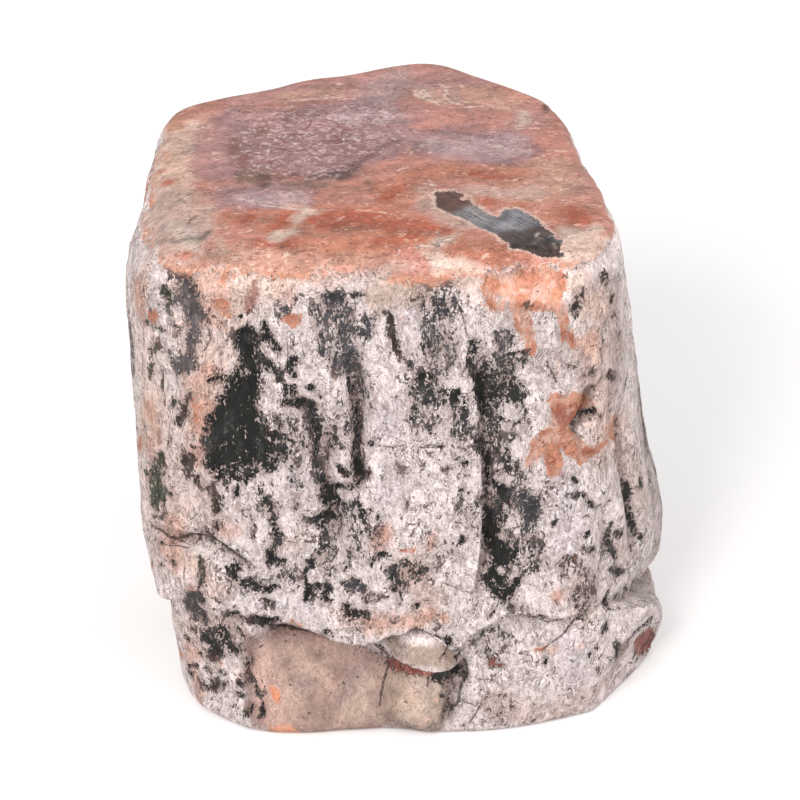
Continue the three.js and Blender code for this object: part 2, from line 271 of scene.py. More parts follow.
@dataclass
class BlockForm:
    """The block's whole shape, from the same values as the plain solid."""

    height: float = 75.0
    chart_height: float = 37.5
    corner_sharpness: float = 16.0
    faces: tuple[Face, ...] = (
        Face(0, ((0, 27), (10, 26.7), (22, 26.4)),
             ((17, 29.6), (30, 29.9), (45, 30), (62, 29.5), (75, 28))),
        Face(22, ((0, 30.8), (4, 32.2), (8, 32.9), (22, 33.4)),
             ((17, 34), (30, 35), (50, 35.5), (75, 35))),
        Face(60, ((0, 36.8), (6, 39), (14, 39.4), (22, 36)),
             ((17, 35.4), (22, 37), (32, 37.8), (45, 35.8), (60, 36.4), (75, 36.6))),
        Face(100, ((0, 34), (4, 35.6), (9, 37), (14, 37.4), (22, 34)),
             ((10, 34.8), (17, 36), (25, 36), (31, 34.6), (45, 32), (60, 29.2), (75, 26.2))),
        Face(143, ((0, 28), (22, 27.4)), ((17, 28.4), (30, 28), (60, 27.4), (75, 27.6))),
        Face(-157, ((0, 26), (22, 25.4)), ((17, 27), (30, 26.6), (60, 26.8), (75, 26.8))),
        Face(-92, ((0, 29.4), (8, 30), (22, 30.6)),
             ((15, 31.2), (20, 31.8), (30, 33), (45, 34), (60, 33.7), (75, 32.2))),
        Face(-38, ((0, 33), (15, 34.2), (22, 34.6)),
             ((17, 36.2), (24, 36.6), (45, 38.5), (60, 39.7), (75, 40.3))),
    )
    ledge: Knots = (
        (-50, 17), (-40, 18), (-33, 19.6), (-28, 20.8), (-24, 20.6), (-19.5, 21.6), (-15, 21),
        (-10, 18.9), (-5, 17.2), (-1, 18.6), (3, 19.7), (6, 18.4), (9, 16.8), (12, 20), (15, 22),
        (19.5, 20.8), (24, 19.6), (28, 19.3), (32, 18.2), (36, 16.6), (40, 15.2), (44, 13.4),
        (48, 11.4), (53, 9.9), (58, 9.8), (64, 12.5), (70, 17), (75, 20), (90, 17.5), (103, 18.5),
        (119, 20), (134, 18), (149, 18.5),
    )
    ledge_half_thickness: float = 0.35
    undercut_reach: float = 1.3
    undercut: Knots = ((-21.5, 0), (-19.5, 2.2), (-16, 1.8), (-14, 0.8), (-6, 0.4), (-2, 0))
    notch_at: float = 50.5
    notch_half_length: float = 8.0
    notch_depth: float = 5.0
    notch_reach: float = 1.3
    grooves: tuple[Groove, ...] = (
        Groove(
            ((-13.5, 59), (-10.3, 51.5), (-9.6, 47.5), (-8.6, 43), (-8, 37), (-9, 31)), 1.9, 1.7
        ),
        Groove(((-5, 64), (-4.7, 55), (-4.6, 48), (-4.7, 40)), 1.2, 1.5),
        Groove(((27.8, 55.5), (26.6, 52), (24.6, 48.5)), 1.3, 3),
        Groove(((-32.5, 22.5), (-27.5, 19), (-25, 16), (-21, 9)), 2, 1.4),
        Groove(((10.3, 14), (9.9, 8.5), (8.7, 5.5), (8, 0.5)), 1, 1.5),
        Groove(((36, 50), (36.4, 35), (37.6, 29), (40.2, 20)), 1.4, 1.4),
        Groove(((30.2, 38), (31, 29), (31.6, 20)), 1.5, 1),
        Groove(((45.5, 38), (47, 28), (49, 20), (50, 11)), 1.3, 1.4),
        Groove(((-35, 31.3), (-29, 31.9), (-25, 32.9), (-22.6, 31.5), (-20.2, 30), (-17, 28.5)),
               0.9, 0.9),
        Groove(((66, 66), (67.5, 50), (66, 36), (68, 24)), 1.8, 1.8),
        Groove(((-72, 62), (-70, 46), (-72.5, 30)), 2, 1.9),
        Groove(((88, 70), (90, 56), (88.5, 44)), 1.3, 1.2),
    )
    dishes: tuple[Dish, ...] = (
        Dish((-20, 54.8), (3.9, 11.2), 2, 1.2, 0.35),
        Dish((-8.5, 11), (8, 6.5), 0, 1.2, 0.8),
        Dish((4.6, 15.4), (5.8, 3.4), -14, -2.4, 0.18),
        Dish((3.8, 6), (6.2, 5), -4, -0.6, 0.3),
        Dish((54, 17), (6, 7), 0, -0.9, 0.5),
        Dish((14.5, 22.5), (3.6, 2.4), 20, -0.9, 0.5),
        Dish((-32, 60), (4, 9), -8, 0.8, 0.6),
        Dish((96, 42), (7, 13), 6, 1.7, 0.5),
        Dish((-86, 48), (6, 12), -5, 1.4, 0.6),
        Dish((58, 74), (10, 7), 0, 1.2, 0.6),
        Dish((76, 12), (8, 5), 8, -1, 0.5),
        Dish((-62, 34), (5, 8), 0, -1, 0.7),
    )
    terraces: tuple[Terrace, ...] = (
        Terrace(((10.6, 68), (11.2, 59), (12.1, 46), (12.1, 38), (11.8, 31), (10.9, 25), (9.4, 20)),
                3.3, 0.7, 6.5),
        Terrace(((58, 70), (56.5, 56), (58, 40), (55.5, 26)), 1.8, 1, 7),
        Terrace(((-98, 68), (-100, 52), (-97, 36), (-99, 22)), 2, 1, 8),
    )
    lumps: tuple[Grain, ...] = (Grain(0.75, 11, 17, 1), Grain(0.45, 6, 13, 2))
    chips: tuple[Chip, ...] = (
        Chip((-32.6, 9, 73.4), (-0.8, 0.35, 0.5)),
        Chip((21.8, 14.6, 74), (0.85, 0.35, 0.4)),
        Chip((34.7, -10, 0), (0.8, -0.54, -0.27)),
        Chip((-14, 27.5, 70), (-0.2, 0.85, 0.45)),
    )
    top_edge_least: float = 2.5
    top_edge_front: float = 4.5
    top_edge_front_spread: float = 50.0
    top_edge_left: float = 4.0
    top_edge_left_at: float = -60.0
    top_edge_left_spread: float = 35.0
    foot_edge_least: float = 1.6
    foot_edge_lift: float = 1.6
    foot_edge_lift_at: float = -1.0
    foot_edge_lift_spread: float = 9.0
    chart_steps: int = 1440

    def __post_init__(self) -> None:
        """Works out the chart that turns the way round into an azimuth."""
        azimuths = np.linspace(-180, 180, self.chart_steps + 1)
        level = np.full_like(azimuths, self.chart_height)
        distances = self.face_distance(azimuths, level, Tier.ABOVE)
        ring = self.plan_points(azimuths, distances, np.zeros_like(azimuths))
        way = np.concatenate([[0], np.cumsum(np.linalg.norm(np.diff(ring, axis=0), axis=1))])
        self.chart_azimuths = azimuths
        self.chart_ways = way - np.interp(0, azimuths, way)
        self.way_round = float(way[-1])
        start = self.ledge[0][0]
        lap = [k for k in self.ledge if k[0] < start + self.way_round]
        self.ledge_round = tuple(
            (s + turn * self.way_round, z) for turn in (-1, 0, 1) for s, z in lap
        )

    def wrap_way(self, s: Array) -> Array:
        """The way round brought into the chart's own range."""
        start = self.chart_ways[0]
        return (s - start) % self.way_round + start

    def azimuth_of(self, s: Array) -> Array:
        """Azimuth, in degrees, of a way round."""
        return np.interp(self.wrap_way(s), self.chart_ways, self.chart_azimuths)

    def way_of(self, azimuth: Array) -> Array:
        """Way round of an azimuth."""
        return np.interp(azimuth, self.chart_azimuths, self.chart_ways)

    def ledge_height(self, s: Array) -> Array:
        """Height of the ledge at a way round."""
        return curve(self.ledge_round, self.wrap_way(s))

    def face_distance(self, azimuth: Array, z: Array, tier: Tier) -> Array:
        """Distance from the axis to the faces, along an azimuth in degrees, 0 at the front.

        The plan is a polygon with soft corners: the facing cosine of each face over
        its distance, summed to a high power, is one on the outline.
        """
        total = np.zeros(np.broadcast(azimuth, z).shape)
        for face in self.faces:
            facing = np.maximum(np.cos(np.radians(azimuth - face.azimuth)), 0)
            distance = curve(face.below if tier is Tier.BELOW else face.above, z)
            total += (facing / distance) ** self.corner_sharpness
        return total ** (-1 / self.corner_sharpness)

    @staticmethod
    def plan_points(azimuth: Array, distance: Array, z: Array) -> Array:
        """Points at a distance from the axis along an azimuth."""
        turn = np.radians(azimuth)
        return np.stack([distance * np.sin(turn), -distance * np.cos(turn), z + 0 * turn], -1)

    def relief_depth(self, way: Array, z: Array) -> Array:
        """How far the side is cut back at (s, z); negative where it stands proud.

        A groove is a bell across its path, a dish a soft-edged ellipse, a terrace a
        soft step that decays away from its path, and the notch a bell on the ledge.
        """
        s = self.wrap_way(way)
        depth = np.zeros(np.broadcast(s, z).shape)
        s = s + 0 * depth
        for groove in self.grooves:
            near = near_path(groove.path, s, z)
            depth += groove.depth * bell(near.distance / groove.width) * taper(near.along, 0.2)
        for dish in self.dishes:
            turn = math.radians(dish.turn)
            ds, dz = s - dish.centre[0], z - dish.centre[1]
            across = (ds * math.cos(turn) + dz * math.sin(turn)) / dish.radii[0]
            up = (dz * math.cos(turn) - ds * math.sin(turn)) / dish.radii[1]
            depth += dish.depth * soft_step((1 - np.hypot(across, up)) / dish.softness / 2)
        for terrace in self.terraces:
            near = near_path(terrace.path, s, z)
            fading = np.exp(-np.maximum(near.signed, 0) / terrace.fade) * taper(near.along, 0.3)
            depth += terrace.depth * soft_step(near.signed / terrace.edge) * fading
        beside = np.exp(-(((s - self.notch_at) / self.notch_half_length) ** 4))
        on_ledge = np.exp(-np.abs(z - self.ledge_height(s)) / self.notch_reach)
        return depth + self.notch_depth * beside * on_ledge

    def side_points(self, s: Array, z: Array, tier: Tier, inset: Array) -> Array:
        """Points of the side at (s, z) on one tier, cut in by inset."""
        azimuth = self.azimuth_of(s)
        distance = self.face_distance(azimuth, z, tier) - self.relief_depth(s, z)
        points = self.plan_points(azimuth, distance, z)
        distance = distance + sum(lump.at(points) for lump in self.lumps)
        if tier is Tier.BELOW:
            drop = self.ledge_height(s) - self.ledge_half_thickness - z
            cut = curve(self.undercut, self.wrap_way(s))
            distance = distance - cut * bell(drop / self.undercut_reach)
        return self.plan_points(azimuth, distance - inset, z)

    def top_edge_radius(self, s: Array) -> Array:
        """Radius of the round along the top edge, largest at the front left."""
        azimuth = self.azimuth_of(s)
        front = self.top_edge_front * bell(azimuth / self.top_edge_front_spread)
        beside = (azimuth - self.top_edge_left_at) / self.top_edge_left_spread
        left = self.top_edge_left * bell(beside)
        return self.top_edge_least + front + left

    def foot_edge_radius(self, s: Array) -> Array:
        """Radius of the round along the base's edge."""
        lift = (self.wrap_way(s) - self.foot_edge_lift_at) / self.foot_edge_lift_spread
        return self.foot_edge_least + self.foot_edge_lift * bell(lift)

    def break_corners(self, points: Array) -> Array:
        """Points with what stands beyond each break laid flat on to it."""
        for chip in self.chips:
            facing = np.array(chip.facing) / np.linalg.norm(chip.facing)
            beyond = np.maximum((points - np.array(chip.point)) @ facing, 0)
            points = points - beyond[..., None] * facing
        return points


# ---------------------------------------------------------------- the fine mesh


@dataclass
class FineSurface:
    """Closed grid over the block: columns round it, rows up it, a cap and a base.

    The grid's first parameter is the way round and its second runs up the foot's
    round, the lower part, the ledge's shelf, the upper part and the top edge's
    round. The cap blends its rim's four sides in straight lines. The base is one
    flat face.
    """

    form: BlockForm
    plan_corners: tuple[float, ...] = (-35, 32, 76, 129)
    columns_wide: int = 160
    columns_deep: int = 92
    rows_foot: int = 6
    rows_below: int = 38
    rows_shelf: int = 7
    rows_above: int = 98
    rows_edge: int = 16

    def column_ways(self) -> Array:
        """The ways round of the columns: evenly spaced between each two corners."""
        ends = [*self.plan_corners, self.plan_corners[0] + self.form.way_round]
        counts = [self.columns_wide, self.columns_deep] * 2
        return np.concatenate([
            np.linspace(ends[i], ends[i + 1], counts[i], endpoint=False) for i in range(4)
        ])

    def side_grid(self) -> Array:
        """Points of every row of the side, from the base's rim to the top's rim."""
        form = self.form
        s = self.column_ways()
        foot, edge = form.foot_edge_radius(s), form.top_edge_radius(s)
        under = form.ledge_height(s) - form.ledge_half_thickness
        over = form.ledge_height(s) + form.ledge_half_thickness
        brow = form.height - edge
        flat = np.zeros_like(s)

        turn = (np.pi / 2 * np.arange(self.rows_foot) / self.rows_foot)[:, None]
        foot_rows = form.side_points(
            s, foot * (1 - np.cos(turn)), Tier.BELOW, foot * (1 - np.sin(turn))
        )
        share = (np.arange(self.rows_below + 1) / self.rows_below)[:, None]
        below_rows = form.side_points(s, foot + (under - foot) * share, Tier.BELOW, flat)
        share = (np.arange(self.rows_above + 1) / self.rows_above)[:, None]
        above_rows = form.side_points(s, over + (brow - over) * share, Tier.ABOVE, flat)
        turn = (np.pi / 2 * np.arange(1, self.rows_edge + 1) / self.rows_edge)[:, None]
        edge_rows = form.side_points(
            s, brow + edge * np.sin(turn), Tier.ABOVE, edge * (1 - np.cos(turn))
        )

        share = (np.arange(1, self.rows_shelf) / self.rows_shelf)[:, None, None]
        shelf_rows = below_rows[-1] + (above_rows[0] - below_rows[-1]) * share
        shelf_rows[..., 2] = under + (over - under) * ease(share[..., 0])
        return np.concatenate([foot_rows, below_rows, shelf_rows, above_rows, edge_rows])

    def cap_points(self, rim: Array) -> Array:
        """Inner points of a cap: the blends of opposite sides less that of the corners."""
        wide, deep = self.columns_wide, self.columns_deep
        ring = np.concatenate([rim, rim[:1]])
        front, right = ring[: wide + 1], ring[wide: wide + deep + 1]
        back = ring[wide + deep: 2 * wide + deep + 1][::-1]
        left = ring[2 * wide + deep:][::-1]
        u = (np.arange(1, wide) / wide)[:, None, None]
        v = (np.arange(1, deep) / deep)[None, :, None]
        sides = front[1:-1, None] * (1 - v) + back[1:-1, None] * v
        ends = left[None, 1:-1] * (1 - u) + right[None, 1:-1] * u
        corners = (
            front[0] * (1 - u) * (1 - v) + front[-1] * u * (1 - v)
            + back[0] * (1 - u) * v + back[-1] * u * v
        )
        return (sides + ends - corners).reshape(-1, 3)

    def cap_faces(self, rim_start: int, inner_start: int) -> Array:
        """Four-cornered faces of the cap, whose edge uses the rim's own vertices."""
        wide, deep = self.columns_wide, self.columns_deep
        count = 2 * (wide + deep)
        index = np.zeros((wide + 1, deep + 1), int)
        inner = np.arange((wide - 1) * (deep - 1)).reshape(wide - 1, deep - 1)
        index[1:-1, 1:-1] = inner_start + inner
        index[:, 0] = rim_start + np.arange(wide + 1)
        index[-1, :] = rim_start + wide + np.arange(deep + 1)
        index[:, -1] = rim_start + 2 * wide + deep - np.arange(wide + 1)
        index[0, 1:] = rim_start + (count - np.arange(1, deep + 1)) % count
        corners = [index[:-1, :-1], index[1:, :-1], index[1:, 1:], index[:-1, 1:]]
        return np.stack(corners, -1).reshape(-1, 4)

    def build(self) -> tuple[Array, Array]:
        """All vertices, and the four-cornered faces of the side and the cap."""
        grid = self.side_grid()
        self.rows, self.columns = grid.shape[:2]
        i = np.arange(self.columns)
        row = np.arange(self.rows - 1)[:, None] * self.columns
        after = (i + 1) % self.columns
        corners = [row + i, row + after, row + self.columns + after, row + self.columns + i]
        side = np.stack(corners, -1).reshape(-1, 4)
        self.side_count = self.rows * self.columns
        cap = self.cap_faces(self.side_count - self.columns, self.side_count)
        vertices = np.concatenate([grid.reshape(-1, 3), self.cap_points(grid[-1])])
        return self.form.break_corners(vertices), np.concatenate([side, cap])

    def plain_middle(self) -> Array:
        """Middle of the plain solid's box, in plan, from the same grid made coarse."""
        plain = FineSurface(self.form, self.plan_corners, 28, 20, 2, 7, 1, 20, 4)
        vertices, _ = plain.build()
        middle = (vertices.min(axis=0) + vertices.max(axis=0)) / 2
        return np.array([middle[0], middle[1], 0])


def vertex_normals(vertices: Array, faces: Array) -> Array:
    """Outward normals: each face's area vector summed at its corners."""
    a, b, c, d = (vertices[faces[:, k]] for k in range(4))
    areas = np.cross(c - a, d - b)
    normals = np.zeros_like(vertices)
    for k in range(4):
        np.add.at(normals, faces[:, k], areas)
    return normals / np.maximum(np.linalg.norm(normals, axis=1, keepdims=True), 1e-12)


# ---------------------------------------------------------------- marks on the charts


def discs_of(mark: Mark) -> list[Place]:
    """The discs of a mark, whose numbers run: a, b, radius, a, b, radius and so on."""
    return list(zip(mark[0::3], mark[1::3], mark[2::3]))


def mark_margin(mark: Mark, a: Array, b: Array, thin: float) -> Array:
    """How deep places lie inside a mark, which is a chain of discs.

    Between two discs the radius runs straight from one to the other; the margin is
    that radius less the distance to the line, and is negative outside. Where the
    radius is less than thin, the margin is scaled up to reach thin at its middle.
    """
    (a0, b0, r0), *rest = discs_of(mark)
    margin = (r0 - np.hypot(a - a0, b - b0)) * max(1, thin / r0)
    for a1, b1, r1 in rest:
        da, db = a1 - a0, b1 - b0
        u = np.clip(((a - a0) * da + (b - b0) * db) / (da * da + db * db), 0, 1)
        distance = np.hypot(a - a0 - u * da, b - b0 - u * db)
        radius = r0 + (r1 - r0) * u
        margin = np.maximum(margin, (radius - distance) * np.maximum(1, thin / radius))
        a0, b0, r0 = a1, b1, r1
    return margin


def marks_margin(marks: Marks, a: Array, b: Array, thin: float = 0.0) -> Array:
    """The largest margin of several marks, worked out near each mark only.

    It stops at minus FAR away from every mark.
    """
    margin = np.full(len(a), -FAR)
    for mark in marks:
        discs = np.array(discs_of(mark))
        reach = discs[:, 2:].max() + FAR
        low, high = discs.min(axis=0) - reach, discs.max(axis=0) + reach
        near = np.flatnonzero((a > low[0]) & (a < high[0]) & (b > low[1]) & (b < high[1]))
        margin[near] = np.maximum(margin[near], mark_margin(mark, a[near], b[near], thin))
    return margin


def outline_margin(outline: Knots, a: Array, b: Array) -> Array:
    """Distance to a closed outline, + inside: a place is inside if rays cross it oddly."""
    closed = (*outline, outline[0])
    distance = near_path(closed, a, b).distance
    inside = np.zeros(np.shape(a), bool)
    for (a0, b0), (a1, b1) in zip(closed[:-1], closed[1:]):
        crosses = (b0 > b) != (b1 > b)
        rise = b1 - b0 if b1 != b0 else 1e-9
        inside ^= crosses & (a < (a1 - a0) * (b - b0) / rise + a0)
    return np.where(inside, distance, -distance)


class Tone(Enum):
    """Colours of the stone, as red, green and blue out of 255."""

    CRUST = (246, 230, 228)
    LAVENDER = (221, 207, 212)
    TAN = (202, 174, 156)
    PEACH = (228, 190, 171)
    PINK = (224, 166, 146)
    BEIGE = (146, 119, 109)
    UMBER = (150, 118, 108)
    # Grey: on the side it is painted shade; on the cut top it is the stone's own grey near the
    # back.
    GREY_AND_PAINTED_SHADE = (176, 160, 158)
    SMOKE = (150, 143, 143)
    ORANGE = (195, 125, 97)
    APRICOT = (210, 148, 120)
    BRICK = (150, 74, 54)
    MAUVE = (168, 128, 129)
    ROSE = (198, 144, 139)
    SALMON = (202, 138, 122)
    BROWN = (146, 96, 82)
    OLIVE_BROWN = (138, 108, 94)
    DARK_BROWN = (82, 52, 43)
    CREAM = (232, 212, 198)
    SAND = (209, 174, 162)
    WHITE = (236, 220, 217)
    BLACK = (22, 23, 21)
    DIRT = (104, 84, 78)
    COAL = (38, 38, 36)
    SOOT_BROWN = (62, 48, 44)
    OLIVE = (60, 64, 50)
    PUTTY = (158, 137, 124)
    SLATE = (82, 74, 76)
    BLUE_GREY = (56, 55, 59)
    STEEL = (130, 128, 134)
    OXBLOOD = (126, 72, 64)
    PEWTER = (96, 92, 95)
    CURL = (224, 194, 196)
    BLUSH = (212, 162, 142)
    TERRACOTTA = (190, 99, 71)
    UMBER_BROWN = (122, 80, 72)

    def linear(self) -> Array:
        """The colour as linear light, less the brightness of the studio."""
        c = np.array(self.value) / 255
        return np.where(c <= 0.04045, c / 12.92, ((c + 0.055) / 1.055) ** 2.4) / STUDIO_LIGHT


@dataclass(frozen=True)
class Wash:
    """A colour laid over marks, with a soft and ragged edge."""

    tone: Tone
    soft: float
    ragged: float
    strength: float
    marks: Marks


@dataclass(frozen=True)
class Bare:
    """Marks where the crust is missing; a low fill leaves a broken, speckled mark."""

    tone: Tone
    fill: float
    marks: Marks


@dataclass
class Canvas:
    """Where every vertex lies on a chart, and the colours and margins laid there."""

    points: Array
    a: Array
    b: Array

    @staticmethod
    def rough(points: Array, size: float, along: float, seed: int) -> Array:
        """Two octaves of noise from about -1 to 1 for ragged edges."""
        broad = Grain(0.65, size, along, seed).at(points)
        return broad + Grain(0.45, size / 2.1, along / 2.1, seed + 1).at(points)

    def paint(self, colours: Array, wash: Wash, weight: Array, seed: int) -> Array:
        """Colours with a wash laid over them, where weight allows it."""
        margin = marks_margin(wash.marks, self.a, self.b)
        near = np.flatnonzero((margin > -FAR) & (weight > 0))
        rough = wash.ragged * Canvas.rough(self.points[near], 1.8, 2.6, seed)
        share = ease((margin[near] + rough) / wash.soft / 2 + 0.5) * wash.strength * weight[near]
        painted = colours.copy()
        painted[near] += (wash.tone.linear() - painted[near]) * share[:, None]
        return painted


# ---------------------------------------------------------------- the weathered side


